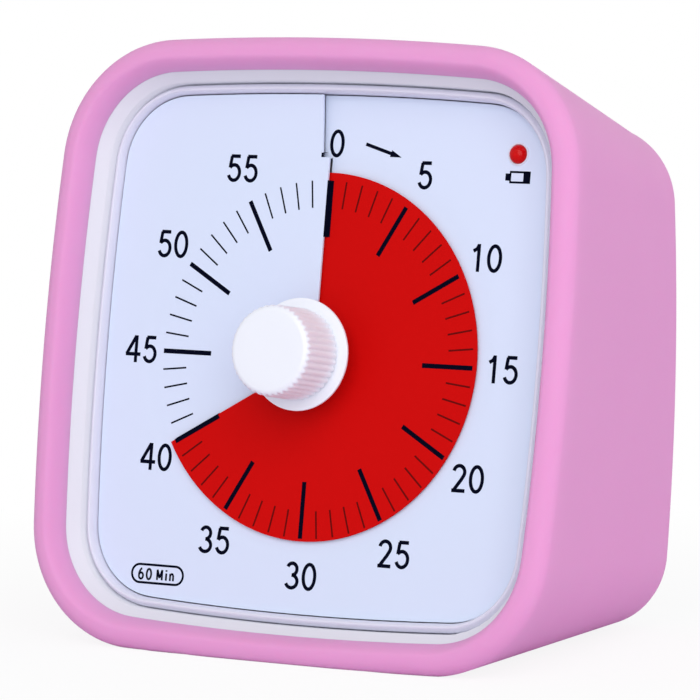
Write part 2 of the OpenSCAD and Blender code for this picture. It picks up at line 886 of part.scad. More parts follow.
module rear_screws() {
    color("silver")
    for (sx = [-1, 1], sy = [-1, 1])
        in_back() translate([sx * boss_x, sy * boss_y, cover_inner + 0.4])
            screw(cover_screw_r - fit, cover_head_r, cover_t - 0.6, boss_l * 0.7);
}

module battery() {
    color([0.25, 0.3, 0.4])
    in_back() translate([bay_l / 2 - contact_t - battery_l - fit, -bay_drop, -battery_in])
        rotate([0, 90, 0]) {
            cylinder(r = battery_r, h = battery_l - nub_l);
            cylinder(r = nub_r, h = battery_l);
        }
}

module positive_contact() {
    color("silver")
    in_back() translate([bay_l / 2 - contact_t, -bay_drop - contact_w / 2, -battery_in - contact_w / 2])
        cube([contact_t - fit, contact_w, contact_w]);
}

// A tapering coil of wire that presses on the battery's flat end
module negative_spring() {
    turns = 3;
    steps = 16;
    sides = 8;
    wire_r = spring_wire_r;
    taper = spring_r0 - spring_r1;
    length = battery_play - 2 * contact_t - 2 * wire_r - 2 * fit;
    n = turns * steps;
    pts = [
        for (i = [0 : n], k = [0 : sides - 1])
            let (a = 360 * i / steps, c = 360 * k / sides, r = spring_r0 - taper * i / n + wire_r * cos(c))
            [r * cos(a), r * sin(a), length * i / n + wire_r * sin(c)]
    ];
    walls = [
        for (i = [0 : n - 1], k = [0 : sides - 1])
            let (a = sides * i + k, b = sides * i + (k + 1) % sides)
            [a, b, b + sides, a + sides]
    ];
    ends = [[for (k = [sides - 1 : -1 : 0]) k], [for (k = [0 : sides - 1]) sides * n + k]];
    color("silver")
    in_back() translate([-bay_l / 2 + fit, -bay_drop, -battery_in]) {
        translate([0, -spring_plate_w / 2, -spring_plate_w / 2])
            cube([contact_t - fit, spring_plate_w, spring_plate_w]);
        translate([contact_t - fit + wire_r - 3 * thin, 0, 0]) rotate([0, 90, 0])
            polyhedron(pts, concat(walls, ends), convexity = 6);
    }
}

module battery_door() {
    grow = door_over;
    color([0.94, 0.94, 0.97])
    difference() {
        bay_box(grow, cover_inner + fit, cover_out);
        for (i = [0 : 2])
            in_back() translate([-4, -bay_drop + bay_h / 2 - 1.6 - 1.5 * i, cover_out - 0.4])
                cube([8, 0.7, over]);
    }
}

module circuit_board() {
    color([0.1, 0.4, 0.2])
    difference() {
        in_back() translate([-board_hw, board_y0, -board_z - board_t])
            cube([2 * board_hw, board_y1 - board_y0, board_t - fit]);
        board_places() translate([0, 0, -board_z - board_t - over])
            cylinder(r = screw_r + 0.2, h = board_t + 2 * over);
    }
}

module board_screws() {
    color("silver")
    board_places() translate([0, 0, -board_z - board_t]) rotate([180, 0, 0])
        screw(screw_r - fit, screw_head_r, board_head_t, board_screw_l);
}

module board_part(x, y, w, h, t) {
    in_back() translate([x - w / 2, y - h / 2, -board_z - board_t - t - fit]) cube([w, h, t]);
}

module timer_chip() {
    color([0.12, 0.12, 0.13])
    board_part(0, chip_y, chip_w, chip_h, chip_t);
}

module quartz_crystal() {
    color("silver")
    board_part(crystal_x, crystal_y, crystal_w, crystal_h, crystal_t);
}

module capacitor() {
    color([0.15, 0.2, 0.5])
    in_back() translate([capacitor_x, crystal_y, -board_z - board_t - capacitor_l - fit])
        cylinder(r = capacitor_r, h = capacitor_l);
}

module speaker() {
    color([0.3, 0.3, 0.3])
    in_back() translate([0, speaker_y, cover_inner - fit - speaker_t]) {
        difference() {
            cylinder(r = speaker_r, h = speaker_t);
            translate([0, 0, speaker_t - 0.8]) cylinder(r = speaker_r - 1.2, h = over);
        }
        translate([0, 0, speaker_t - 1]) cylinder(r = 2, h = 0.6);
    }
}

// The room that a slider sweeps, between two heights out of the back
module slider_slot(z0, z1) {
    w = slider_w + slider_travel + 2 * slide_gap;
    h = slider_h + 2 * slide_gap;
    translate([-w / 2, -h / 2, z0]) cube([w, h, z1 - z0]);
}

module switch_body(side) {
    top = board_z - switch_d;
    in_back() translate([side * switch_x, switch_y, 0]) difference() {
        translate([-switch_w / 2, -switch_h / 2, -board_z]) cube([switch_w, switch_h, switch_d]);
        slider_slot(-top - 1.2, over - top);
    }
}

module switch_slider(side, place) {
    foot = board_z - switch_d + 1;
    head = cover_out + slider_proud;
    in_back() translate([side * switch_x + place, switch_y, 0])
        difference() {
            translate([-slider_w / 2, -slider_h / 2, -foot]) cube([slider_w, slider_h, foot + head]);
            for (i = [-1 : 1])
                translate([i * 0.8 - 0.15, -slider_h, head - 0.25]) cube([0.3, 2 * slider_h, over]);
        }
}

module volume_switch() { color([0.2, 0.2, 0.22]) switch_body(1); }
module alarm_switch() { color([0.2, 0.2, 0.22]) switch_body(-1); }
module volume_slider() { color([0.1, 0.1, 0.1]) switch_slider(1, 0); }
module alarm_slider() { color([0.1, 0.1, 0.1]) switch_slider(-1, -slider_travel / 2); }

silicone_sleeve();
front_housing();
dial_frame();
dial_plate();
red_disc();
time_knob();
drive_shaft();
led_lamp();
led_board();
movement_case_front();
movement_case_back();
movement_screws();
centre_wheel();
clutch_spring();
shaft_clip();
contact_cam();
contact_leaf();
third_wheel();
second_wheel();
rotor();
stator();
coil();
circuit_board();
board_screws();
timer_chip();
quartz_crystal();
capacitor();
speaker();
volume_switch();
volume_slider();
alarm_switch();
alarm_slider();
rear_cover();
rear_screws();
battery();
positive_contact();
negative_spring();
battery_door();
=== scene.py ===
# %% [markdown]
# # A pocket countdown timer with a screw-shaped dial
# The timer is a leaning rounded box in a soft silicone sleeve. Its dial is one shallow turn of a screw,
# and a red disc of the same shape slides out through the dial's slit as the knob is turned. The sizes
# and the hidden works come from the CAD frame; this script gives the surfaces their finish. Each step
# says what a piece is on the real timer, how it could be made, and why this way was chosen.

# %% Load the frame
import json
import math

import bmesh
import bpy
import numpy as np
from mathutils import Matrix, Vector


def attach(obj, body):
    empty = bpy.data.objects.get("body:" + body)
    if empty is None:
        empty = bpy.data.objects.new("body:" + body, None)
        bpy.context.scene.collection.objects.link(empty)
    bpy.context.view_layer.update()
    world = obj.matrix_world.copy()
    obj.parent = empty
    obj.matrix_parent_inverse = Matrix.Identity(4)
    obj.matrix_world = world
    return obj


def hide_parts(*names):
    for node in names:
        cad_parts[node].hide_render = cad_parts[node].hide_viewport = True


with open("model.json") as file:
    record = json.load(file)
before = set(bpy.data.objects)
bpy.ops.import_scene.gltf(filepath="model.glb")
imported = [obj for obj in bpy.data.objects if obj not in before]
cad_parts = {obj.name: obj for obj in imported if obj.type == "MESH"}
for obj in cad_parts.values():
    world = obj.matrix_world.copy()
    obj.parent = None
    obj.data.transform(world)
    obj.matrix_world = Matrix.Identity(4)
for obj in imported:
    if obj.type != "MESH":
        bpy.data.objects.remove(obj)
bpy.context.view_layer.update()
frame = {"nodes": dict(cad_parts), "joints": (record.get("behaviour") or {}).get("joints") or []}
nodes = frame["nodes"]
MM = 0.001

# %% [markdown]
# ## Sizes and places
# The same few sizes that shape the solids shape the surfaces here, in millimetres. The front leans back
# and the back leans a little too, so each has its own small frame: x to the right, v up along it and
# `out` away from it. One could model upright and turn the pieces afterwards, but a finished piece keeps
# its place in its mesh, so two helpers turn such a place straight into a place in the room.

# %% Sizes of the case
FRONT_W, FRONT_H, FRONT_CORNER = 77.4, 80.0, 16.2
BACK_W, BACK_H, BACK_CORNER = 64.2, 67.0, 10.4
SIDE_BOW = 400.0
LEAN, BACK_LEAN = math.radians(9.0), math.radians(2.0)
SLEEVE_DEPTH, SLEEVE_WALL = 45.5, 2.2
RIM_ROUND, BACK_ROUND = 2.2, 2.4
RIM_W, RIM_DEPTH, SEAT = 4.05, 2.9, 0.1
COVER_OUT = 3.4
BASE_FLAT = 0.35

FACE_Z = FRONT_H / 2 * math.cos(LEAN) - BASE_FLAT
BACK_Z = BACK_H / 2 * math.cos(BACK_LEAN) - BASE_FLAT
FIRST_Y = -(FRONT_H / 2 - RIM_ROUND) * math.sin(LEAN)
LAST_Y = SLEEVE_DEPTH + COVER_OUT * math.cos(BACK_LEAN) + BACK_H / 2 * math.sin(BACK_LEAN)
FACE_Y = -(FIRST_Y + LAST_Y) / 2
BACK_Y = FACE_Y + SLEEVE_DEPTH
print("front's middle at y", round(FACE_Y, 3), "z", round(FACE_Z, 3))


# %% Places on the front and on the back
def on_front(x, v, out):
    """A place in the front's own frame, as x, y, z: v runs up the lean and out runs away from the face."""
    x, v, out = np.broadcast_arrays(x, v, out)
    y = FACE_Y + v * math.sin(LEAN) - out * math.cos(LEAN)
    z = FACE_Z + v * math.cos(LEAN) + out * math.sin(LEAN)
    return np.stack([x, y, z], -1).astype(float)


def on_back(x, v, out):
    """A place in the back's own frame, as x, y, z: v runs up the back and out runs away behind it."""
    x, v, out = np.broadcast_arrays(x, v, out)
    y = BACK_Y + v * math.sin(BACK_LEAN) + out * math.cos(BACK_LEAN)
    z = BACK_Z + v * math.cos(BACK_LEAN) - out * math.sin(BACK_LEAN)
    return np.stack([x, y, z], -1).astype(float)


print("top of the front:", on_front(0, FRONT_H / 2, 0).round(2))
print("top of the back:", on_back(0, BACK_H / 2, 0).round(2))


# %% The knob's axis, read from its joint
turn_joint = [j for j in frame["joints"] if j["name"] == "knob_turn"][0]
knob_at = np.array(turn_joint["pos_m"]) / MM - [0, FACE_Y, FACE_Z]
AXIS_X = float(knob_at[0])
AXIS_V = float(knob_at[1] * math.sin(LEAN) + knob_at[2] * math.cos(LEAN))
print("knob's axis at x", round(AXIS_X, 3), "v", round(AXIS_V, 3))

# %% [markdown]
# ## How a surface is made
# A rounded case can be made from a cube with bevels and a subdivision surface, but then the exact radii
# are hard to hold. Here every new piece is a grid of points worked out with numpy: a rounded outline
# swept along a small profile, or a function of an angle and a radius. One helper turns the grid into a
# mesh, closes it where it wraps round, and caps its open ends.

# %% From a grid of points to a mesh
SAME_PLACE = 1e-7


def grid_faces(rows, cols, wrap_rows=False, wrap_cols=False, start=0):
    """Four-sided faces between neighbours of a rows x cols grid, as an array of point numbers."""
    i, j = np.meshgrid(
        np.arange(rows if wrap_rows else rows - 1), np.arange(cols if wrap_cols else cols - 1), indexing="ij"
    )
    ni, nj = (i + 1) % rows, (j + 1) % cols
    quads = np.stack([i * cols + j, i * cols + nj, ni * cols + nj, ni * cols + j], -1)
    return quads.reshape(-1, 4) + start


def add_piece(name, mesh, crease):
    """Puts a mesh in the scene at the origin, shaded softly up to a crease angle in degrees."""
    mesh.shade_smooth()
    mesh.set_sharp_from_angle(angle=math.radians(crease))
    piece = bpy.data.objects.new(name, mesh)
    bpy.context.scene.collection.objects.link(piece)
    return piece


def new_mesh(name, points, faces, crease=50.0):
    """Makes a mesh object from millimetre points: merges doubles and turns the faces outwards."""
    mesh = bpy.data.meshes.new(name)
    mesh.from_pydata((np.asarray(points, float).reshape(-1, 3) * MM).tolist(), [], faces)
    shell = bmesh.new()
    shell.from_mesh(mesh)
    bmesh.ops.remove_doubles(shell, verts=shell.verts, dist=SAME_PLACE)
    bmesh.ops.recalc_face_normals(shell, faces=shell.faces)
    shell.to_mesh(mesh)
    shell.free()
    return add_piece(name, mesh, crease)


def new_surface(name, grid, wrap_rows=False, wrap_cols=False, caps=False):
    """A mesh from a grid of points; caps close the first and the last row of a grid that wraps across."""
    rows, cols = grid.shape[:2]
    faces = grid_faces(rows, cols, wrap_rows, wrap_cols).tolist()
    if caps:
        faces += [list(range(cols)), list(range((rows - 1) * cols, rows * cols))]
    return new_mesh(name, grid, faces)


def dress(piece, material, body, replaces=()):
    """Gives a finished piece its material and its body, and hides the CAD nodes that it stands for."""
    piece.data.materials.clear()
    piece.data.materials.append(material)
    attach(piece, body)
    if replaces:
        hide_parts(*replaces)
    return piece


print("a grid of 3 x 4 points has", len(grid_faces(3, 4)), "faces")

# %% [markdown]
# ## The case's outline
# Seen from the front, the case is a rounded rectangle whose sides bow out a little. A superellipse comes
# close, but its corners can't be set apart from its sides. So the outline is built the way a draughtsman
# would: a long arc for each side and a round one for each corner, each touching the next. The front and
# the back carry the same outline at their own sizes, point for point, so a wall runs straight between.


# %% Outlines
SIDE_STEPS, CORNER_STEPS = 10, 26


def arc(centre, radius, a0, a1, steps):
    """Points on a circle from angle a0 to a1, in radians."""
    a = np.linspace(a0, a1, steps + 1)
    return np.stack([centre[0] + radius * np.cos(a), centre[1] + radius * np.sin(a)], -1)


def outline(half_w, half_h, corner, bow):
    """A rounded rectangle with bowed sides: each quarter is half a side on a circle of radius `bow`, a
    corner circle that touches both sides, and half of the next side."""
    p, q = np.array([half_w - bow, 0.0]), np.array([0.0, half_h - bow])
    d = q - p
    away = math.sqrt((bow - corner) ** 2 - d @ d / 4)
    c = (p + q) / 2 + away * np.array([-d[1], d[0]]) / np.linalg.norm(d)
    t1, t2 = math.atan2(*(c - p)[::-1]), math.atan2(*(c - q)[::-1])
    quarter = np.concatenate([
        arc(p, bow, 0, t1, SIDE_STEPS),
        arc(c, corner, t1, t2, CORNER_STEPS)[1:],
        arc(q, bow, t2, math.pi / 2, SIDE_STEPS)[1:],
    ])
    return np.concatenate([
        quarter[:-1],
        (quarter * [-1, 1])[::-1][:-1],
        (quarter * [-1, -1])[:-1],
        (quarter * [1, -1])[::-1][:-1],
    ])


def front_outline(inset):
    """The front's outline as x and v, moved in by inset."""
    return outline(FRONT_W / 2 - inset, FRONT_H / 2 - inset, FRONT_CORNER - inset, SIDE_BOW - inset)


def front_ring(inset, depth):
    """The front's outline in the room, moved in by inset and back by depth."""
    o = front_outline(inset)
    return on_front(o[:, 0], o[:, 1], -depth)


def back_ring(inset, out):
    """The back's outline in the room, moved in by inset and away from the back by out."""
    o = outline(BACK_W / 2 - inset, BACK_H / 2 - inset, BACK_CORNER - inset, SIDE_BOW - inset)
    return on_back(o[:, 0], o[:, 1], out)


print("one outline has", len(front_ring(0, 0)), "points")


# %% Steps along a profile
def between(ring_a, ring_b, steps):
    """Rings on the straight lines from one ring to another, without the two ends."""
    t = np.linspace(0, 1, steps + 1)[1:-1, None, None]
    return list(ring_a + (ring_b - ring_a) * t)


def softened(path, radius, steps=4):
    """A path whose inner corners are replaced by parabolas that start and end `radius` away from them."""
    path = np.array(path, float)
    t = np.linspace(0, 1, steps + 1)[:, None]
    out = [path[:1]]
    for a, b, c in zip(path[:-2], path[1:-1], path[2:]):
        back, on = a - b, c - b
        start = b + back * min(0.5, radius / np.linalg.norm(back))
        end = b + on * min(0.5, radius / np.linalg.norm(on))
        out.append((1 - t) ** 2 * start + 2 * t * (1 - t) * b + t**2 * end)
    return np.concatenate(out + [path[-1:]])


print("a softened corner has", len(softened([(0, 0), (1, 0), (1, 1)], 0.2)), "places")

# %% [markdown]
# ## What a finish is made of
# Moulded plastic and silicone look plain, but not flat: the colour drifts gently, and a fine grain breaks
# up each highlight. A painted image could hold both, but it would have to be unwrapped onto every piece.
# Two small node groups do it instead, one for the drift and one for the grain. Both work in Object
# coordinates, so they stay put when the object is moved or exported.


# %% Colours and node helpers
MIX_A, MIX_B, MIX_RESULT = 6, 7, 2


def rgb(r, g, b):
    """A colour given as 0 to 255 on screen, turned into the linear values that shaders use."""
    c = np.array([r, g, b]) / 255
    lin = np.where(c <= 0.04045, c / 12.92, ((c + 0.055) / 1.055) ** 2.4)
    return (*lin.tolist(), 1.0)


def new_group(name, inputs, outputs):
    """A shader node group with its named inputs and outputs, each given as (name, kind, first value)."""
    group = bpy.data.node_groups.new(name, "ShaderNodeTree")
    for way, sockets in (("INPUT", inputs), ("OUTPUT", outputs)):
        for label, kind, value in sockets:
            socket = group.interface.new_socket(name=label, in_out=way, socket_type="NodeSocket" + kind)
            if value is not None:
                socket.default_value = value
    return group, *add_nodes(group, "NodeGroupInput", "NodeGroupOutput")


def add_nodes(tree, *kinds):
    """New nodes in a tree, one of each kind that is named."""
    return [tree.nodes.new(kind) for kind in kinds]


def wire(tree, *wires):
    """Joins sockets in a tree; each wire runs from an output to an input."""
    for output, target in wires:
        tree.links.new(output, target)


print("on screen 128 is", round(rgb(128, 128, 128)[0], 3), "in linear light")

# %% Shader group: a colour that drifts a little
tone_drift, given, result = new_group("tone_drift", [
    ("Vector", "Vector", None), ("Main", "Color", (0.8, 0.8, 0.8, 1)), ("Other", "Color", (0.7, 0.7, 0.7, 1)),
    ("Scale", "Float", 60.0), ("Amount", "Float", 0.5),
], [("Color", "Color", None)])
clouds, share, blend = add_nodes(tone_drift, "ShaderNodeTexNoise", "ShaderNodeMath", "ShaderNodeMix")
clouds.inputs["Detail"].default_value = 3.0
share.operation = "MULTIPLY"
blend.data_type = "RGBA"
wire(
    tone_drift,
    (given.outputs["Vector"], clouds.inputs["Vector"]), (given.outputs["Scale"], clouds.inputs["Scale"]),
    (clouds.outputs["Fac"], share.inputs[0]), (given.outputs["Amount"], share.inputs[1]),
    (share.outputs[0], blend.inputs[0]), (given.outputs["Main"], blend.inputs[MIX_A]),
    (given.outputs["Other"], blend.inputs[MIX_B]), (blend.outputs[MIX_RESULT], result.inputs["Color"]),
)
print("tone_drift has", len(tone_drift.nodes), "nodes")

# %% Shader group: fine grain for the normal and the roughness
fine_grain, given, result = new_group("fine_grain", [
    ("Vector", "Vector", None), ("Scale", "Float", 2500.0), ("Strength", "Float", 0.1),
    ("Distance", "Float", 0.0001), ("Roughness", "Float", 0.5), ("Spread", "Float", 0.1),
], [("Normal", "Vector", None), ("Roughness", "Float", None)])
grains, dents, rough = add_nodes(fine_grain, "ShaderNodeTexNoise", "ShaderNodeBump", "ShaderNodeMath")
grains.inputs["Detail"].default_value = 4.0
rough.operation = "MULTIPLY_ADD"
wire(
    fine_grain,
    (given.outputs["Vector"], grains.inputs["Vector"]), (given.outputs["Scale"], grains.inputs["Scale"]),
    (grains.outputs["Fac"], dents.inputs["Height"]), (given.outputs["Strength"], dents.inputs["Strength"]),
    (given.outputs["Distance"], dents.inputs["Distance"]), (grains.outputs["Fac"], rough.inputs[0]),
    (given.outputs["Spread"], rough.inputs[1]), (given.outputs["Roughness"], rough.inputs[2]),
    (dents.outputs["Normal"], result.inputs["Normal"]), (rough.outputs[0], result.inputs["Roughness"]),
)
print("fine_grain has", len(fine_grain.nodes), "nodes")


# %% The material that uses them
def finish_of(name, main, other, rough=0.45, spread=0.1, grain=2500.0, bump=0.1, depth=0.00005,
              drift=60.0, amount=0.5, metallic=0.0, **sockets):
    """A Principled material: a drifting colour, a grain on normal and roughness, and more sockets by name."""
    material = bpy.data.materials.new(name)
    material.use_nodes = True
    tree = material.node_tree
    shader = tree.nodes["Principled BSDF"]
    where, tone, texture = add_nodes(tree, "ShaderNodeTexCoord", "ShaderNodeGroup", "ShaderNodeGroup")
    tone.node_tree, texture.node_tree = tone_drift, fine_grain
    extra = {label.replace("_", " "): value for label, value in sockets.items()}
    values = [
        (tone, {"Main": main, "Other": other, "Scale": drift, "Amount": amount}),
        (texture, {"Scale": grain, "Strength": bump, "Distance": depth,
                   "Roughness": rough - spread / 2, "Spread": spread}),
        (shader, {"Metallic": metallic, **extra}),
    ]
    for node, chosen in values:
        for label, value in chosen.items():
            node.inputs[label].default_value = value
    wire(
        tree,
        (where.outputs["Object"], tone.inputs["Vector"]), (where.outputs["Object"], texture.inputs["Vector"]),
        (tone.outputs["Color"], shader.inputs["Base Color"]),
        (texture.outputs["Normal"], shader.inputs["Normal"]),
        (texture.outputs["Roughness"], shader.inputs["Roughness"]),
    )
    return material


print("materials so far:", len(bpy.data.materials))

# %% [markdown]
# ## Silicone and moulded plastic
# The sleeve is matt silicone: light enters it and comes out a little further on, which softens its edges,
# so it gets some subsurface scattering and almost no shine. The case and the dial's frame are white ABS
# with the satin of a polished mould. The knob is glossier and the lamp's lens is clear-coated.

# %% Finishes: sleeve, case, knob and lens
PINK = finish_of("pink_silicone", rgb(232, 162, 210), rgb(228, 156, 206), rough=0.62, spread=0.12, grain=1800,
                 bump=0.12, depth=0.00006, Specular_IOR_Level=0.1,
                 Subsurface_Weight=0.4, Subsurface_Radius=(1.0, 0.6, 0.8), Subsurface_Scale=0.0025)
SHELL = finish_of("white_abs", rgb(226, 227, 236), rgb(222, 222, 233), rough=0.42, grain=3200, bump=0.06)
FRAME = finish_of("frame_abs", rgb(226, 226, 240), rgb(220, 221, 236), rough=0.38, grain=3200, bump=0.05)
KNOB = finish_of("white_knob", rgb(243, 246, 252), rgb(239, 241, 250), rough=0.36, grain=3500, bump=0.05,
                 Coat_Weight=0.15, Coat_Roughness=0.3)
LENS = finish_of("red_lens", rgb(214, 4, 6), rgb(176, 2, 4), rough=0.3, spread=0.04, grain=2000, bump=0.02,
                 drift=900, Coat_Weight=0.2, Coat_Roughness=0.04, Specular_IOR_Level=0.05)
print("materials:", len(bpy.data.materials))

# %% [markdown]
# ## Printed sheet and ink
# The dial and the disc are thin plastic sheets with a matt face, so that nothing glares over the numbers.
# Matt ink shines even less. On the red sheet the thin marks let some red through, so they have an ink of
# their own, a dark red, instead of a see-through black that would need a blend.

# %% Finishes: dial, disc and ink
DIAL = finish_of("dial_print", rgb(222, 230, 253), rgb(215, 229, 245), rough=0.5, spread=0.06, grain=4000,
                 bump=0.04, drift=30, amount=0.8, Specular_IOR_Level=0.1)
RED = finish_of("red_sheet", rgb(207, 12, 11), rgb(203, 12, 11), rough=0.5, spread=0.06, grain=4000,
                bump=0.04, drift=35, Specular_IOR_Level=0.03)
INK = finish_of("black_ink", rgb(2, 5, 24), rgb(8, 10, 30), rough=0.55, grain=6000, bump=0.03,
                Specular_IOR_Level=0.02)
RED_INK = finish_of("ink_on_red", rgb(104, 8, 8), rgb(92, 6, 6), rough=0.55, grain=6000, bump=0.03,
                    Specular_IOR_Level=0.05)
print("materials:", len(bpy.data.materials))

# %% [markdown]
# ## Metal, boards and wheels
# Inside are bright screws, springy brass, a copper coil, a green circuit board and moulded wheels. They
# share the same two groups, and differ by colour, grain and the Metallic value.

# %% Finishes: the works
STEEL = finish_of("steel", rgb(190, 190, 194), rgb(165, 165, 170), rough=0.3, spread=0.14, grain=1200,
                  metallic=1.0, bump=0.08)
BRASS = finish_of("spring_brass", rgb(205, 176, 108), rgb(180, 148, 84), rough=0.3, spread=0.12, grain=1200,
                  metallic=1.0)
COPPER = finish_of("copper_wire", rgb(186, 100, 58), rgb(150, 72, 40), rough=0.35, grain=5000, metallic=0.8,
                   bump=0.3)
BOARD = finish_of("board_green", rgb(36, 110, 58), rgb(26, 88, 46), rough=0.35, drift=200)
DARK = finish_of("dark_plastic", rgb(52, 52, 56), rgb(42, 42, 46), rough=0.5, bump=0.12)
BLACK = finish_of("slider_black", rgb(26, 26, 28), rgb(20, 20, 22), rough=0.48, bump=0.15)
IVORY = finish_of("wheel_plastic", rgb(232, 224, 200), rgb(222, 212, 186), rough=0.4)
WHEEL_RED = finish_of("wheel_red", rgb(200, 72, 58), rgb(184, 60, 48), rough=0.4)
WHEEL_BLUE = finish_of("wheel_blue", rgb(84, 136, 200), rgb(70, 120, 186), rough=0.4)
WRAP = finish_of("battery_wrap", rgb(92, 108, 150), rgb(80, 96, 138), rough=0.5, grain=5000, bump=0.02)
print("materials:", len(bpy.data.materials))

# %% [markdown]
# ## The works inside
# The hidden pieces are right as the CAD made them, so they keep their meshes and only get a finish. A view
# with the case taken away then shows steel, brass, copper and moulded plastic. The seen pieces get one
# too, although new surfaces stand for them further down.

# %% Finishes for the CAD nodes
NODE_FINISH = {
    "drive_shaft": STEEL, "led_board": BOARD, "movement_case_front": DARK, "movement_case_back": DARK,
    "movement_screws": STEEL, "centre_wheel": IVORY, "clutch_spring": BRASS, "shaft_clip": STEEL,
    "contact_cam": IVORY, "contact_leaf": BRASS, "third_wheel": WHEEL_RED, "second_wheel": WHEEL_BLUE,
    "rotor": DARK, "stator": STEEL, "coil": COPPER, "circuit_board": BOARD, "board_screws": STEEL,
    "timer_chip": DARK, "quartz_crystal": STEEL, "capacitor": WRAP, "speaker": DARK, "volume_switch": DARK,
    "alarm_switch": DARK, "battery": WRAP, "positive_contact": STEEL, "negative_spring": STEEL,
    "front_housing": SHELL, "silicone_sleeve": PINK, "dial_frame": FRAME, "dial_plate": DIAL,
    "red_disc": RED, "time_knob": KNOB, "led_lamp": LENS, "rear_cover": SHELL, "rear_screws": STEEL,
    "battery_door": SHELL, "volume_slider": BLACK, "alarm_slider": BLACK,
}
for node, finish in NODE_FINISH.items():
    mesh = nodes[node].data
    mesh.materials.clear()
    mesh.materials.append(finish)
print("nodes with a finish:", len(NODE_FINISH), "of", len(nodes))

# %% [markdown]
# ## The silicone sleeve
# The sleeve is one moulded skin that is pulled over the case: a soft lip that curls in towards the dial, a
# big round outer edge, side walls that narrow towards the back, and a small round edge there. A Solidify
# modifier could thicken a sheet, but the lip and the two edges each have their own round, so the skin's
# whole cross-section is drawn and every place on it becomes an outline. The underside is pressed flat
# where it stands.


# %% Sleeve: rings along its cross-section
LIP_STEPS, EDGE_STEPS, BACK_STEPS, WALL_STEPS, INNER_STEPS = 12, 9, 8, 14, 10
LIP_PULL, LIP_END = 0.8, 0.2


def sleeve_rings():
    """Outlines along the skin: the lip (a parabola from the seat at the bezel to the rim's crest), the outer
    edge (a quarter circle), the side wall, the back edge (part of a circle) and the inner wall."""
    t = np.linspace(0, 1, LIP_STEPS)[:, None]
    seat, pull, crest = [RIM_W, RIM_DEPTH + SEAT], [RIM_W - LIP_PULL, 0], [RIM_ROUND + LIP_END, 0]
    lip = (1 - t) ** 2 * seat + 2 * t * (1 - t) * pull + t**2 * crest
    a = np.linspace(0, math.pi / 2, EDGE_STEPS)[1:]
    edge = zip(RIM_ROUND * (1 - np.sin(a)), RIM_ROUND * (1 - np.cos(a)))
    front = [front_ring(inset, depth) for inset, depth in [*lip, (RIM_ROUND, 0), *edge]]
    turn = math.acos(1 - SLEEVE_WALL / BACK_ROUND)
    back = [
        back_ring(BACK_ROUND * (1 - math.cos(a)), BACK_ROUND * (math.sin(a) - 1))
        for a in np.linspace(0, turn, BACK_STEPS)
    ]
    inner = front_ring(SLEEVE_WALL, RIM_DEPTH + SEAT)
    wall, inside = between(front[-1], back[0], WALL_STEPS), between(back[-1], inner, INNER_STEPS)
    return np.stack([*front, *wall, *back, *inside, inner])


grid = sleeve_rings()
grid[..., 2] = np.maximum(grid[..., 2], 0.0)
sleeve_skin = new_surface("sleeve_skin", grid, wrap_rows=True, wrap_cols=True)
dress(sleeve_skin, PINK, "body", ["silicone_sleeve"])
print("sleeve:", len(sleeve_skin.data.polygons), "faces")

# %% [markdown]
# ## The dial's frame
# Inside the lip the case shows a sloping band, then a narrow groove, then the rounded bead of the frame
# that holds the dial. A dark line could be painted for the groove, but it would stay dark under any
# light. The groove is a real gap between band and bead, so its shade comes from its shape. The bead is a
# small profile swept along the outline, each place given as an inset and a depth.

# %% Bead
BEAD_PROFILE = [
    (5.46, 9.5), (5.46, 6.3), (5.58, 5.8), (5.95, 5.08), (6.25, 4.98), (6.54, 5.5), (6.67, 6.2), (6.67, 9.5),
]
BEAD_SOFT = 0.2
rings = np.stack([front_ring(inset, depth) for inset, depth in softened(BEAD_PROFILE, BEAD_SOFT)])
dial_bead = new_surface("dial_bead", rings, wrap_rows=True, wrap_cols=True)
dress(dial_bead, FRAME, "body", ["dial_frame"])
print("bead:", len(rings), "rings")

# %% [markdown]
# ## The dial and the red disc
# A flat dial with a flat disc behind it couldn't show the red. On the real timer both are turns of the
# same screw: the depth below the front falls evenly with the clock angle, by one pitch in a full turn. The
# dial starts just right of its slit and ends just left of it, one pitch higher, and the disc passes
# through that step from behind the dial to in front of it. A Screw modifier could turn a line into such a
# surface, but not up to a rounded edge, so the depth is a formula over clock angle and radius.

# %% Sizes of the dial
FACE_DEPTH, PITCH = 6.6, 1.1
DIAL_T, DISC_T = 0.3, 0.2
DISC_R, RED_ANGLE = 23.6, 240.0
DISC_GAP = (PITCH - DIAL_T - DISC_T) / 2
HOLE_R, DISC_HOLE_R = 4.4, 3.0
DIAL_INSET = 6.83
SLIT_RIGHT, SLIT_W, RED_SHORT = 0.21, 0.3, 0.25
UNDERLAP, UNDERLAP_OUT = 0.3, 0.5
JOG_R, JOG_STEP, JOG_SHIFT, JOG_LEAN = 25.5, 0.03, -0.97, -0.08
print("air between disc and dial:", round(DISC_GAP, 3), "mm")


# %% Depths and clock angles
def dial_depth(turn):
    """Depth of the dial's face behind the sleeve's front, after a turn in degrees from the slit."""
    return FACE_DEPTH + PITCH / 2 - PITCH * turn / 360


def disc_depth(turn):
    """Depth of the disc's face, for turns from the end of the red once round to that end again."""
    return dial_depth(RED_ANGLE) + PITCH - DISC_GAP - DISC_T - PITCH * (turn - RED_ANGLE) / 360


def skewed(offset, radius):
    """Clock angle, at a radius, of an upright line that passes the axis at an offset to its right."""
    return np.degrees(np.arcsin(offset / radius))


def clock_place(clock, radius):
    """x and v of a place given by its clock angle, in degrees, and its distance from the knob's axis."""
    a = np.radians(clock)
    return AXIS_X + radius * np.sin(a), AXIS_V + radius * np.cos(a)


def polar(x, v):
    """Clock angle in degrees and distance from the knob's axis: the way back from clock_place."""
    return np.degrees(np.arctan2(x - AXIS_X, v - AXIS_V)), np.hypot(x - AXIS_X, v - AXIS_V)


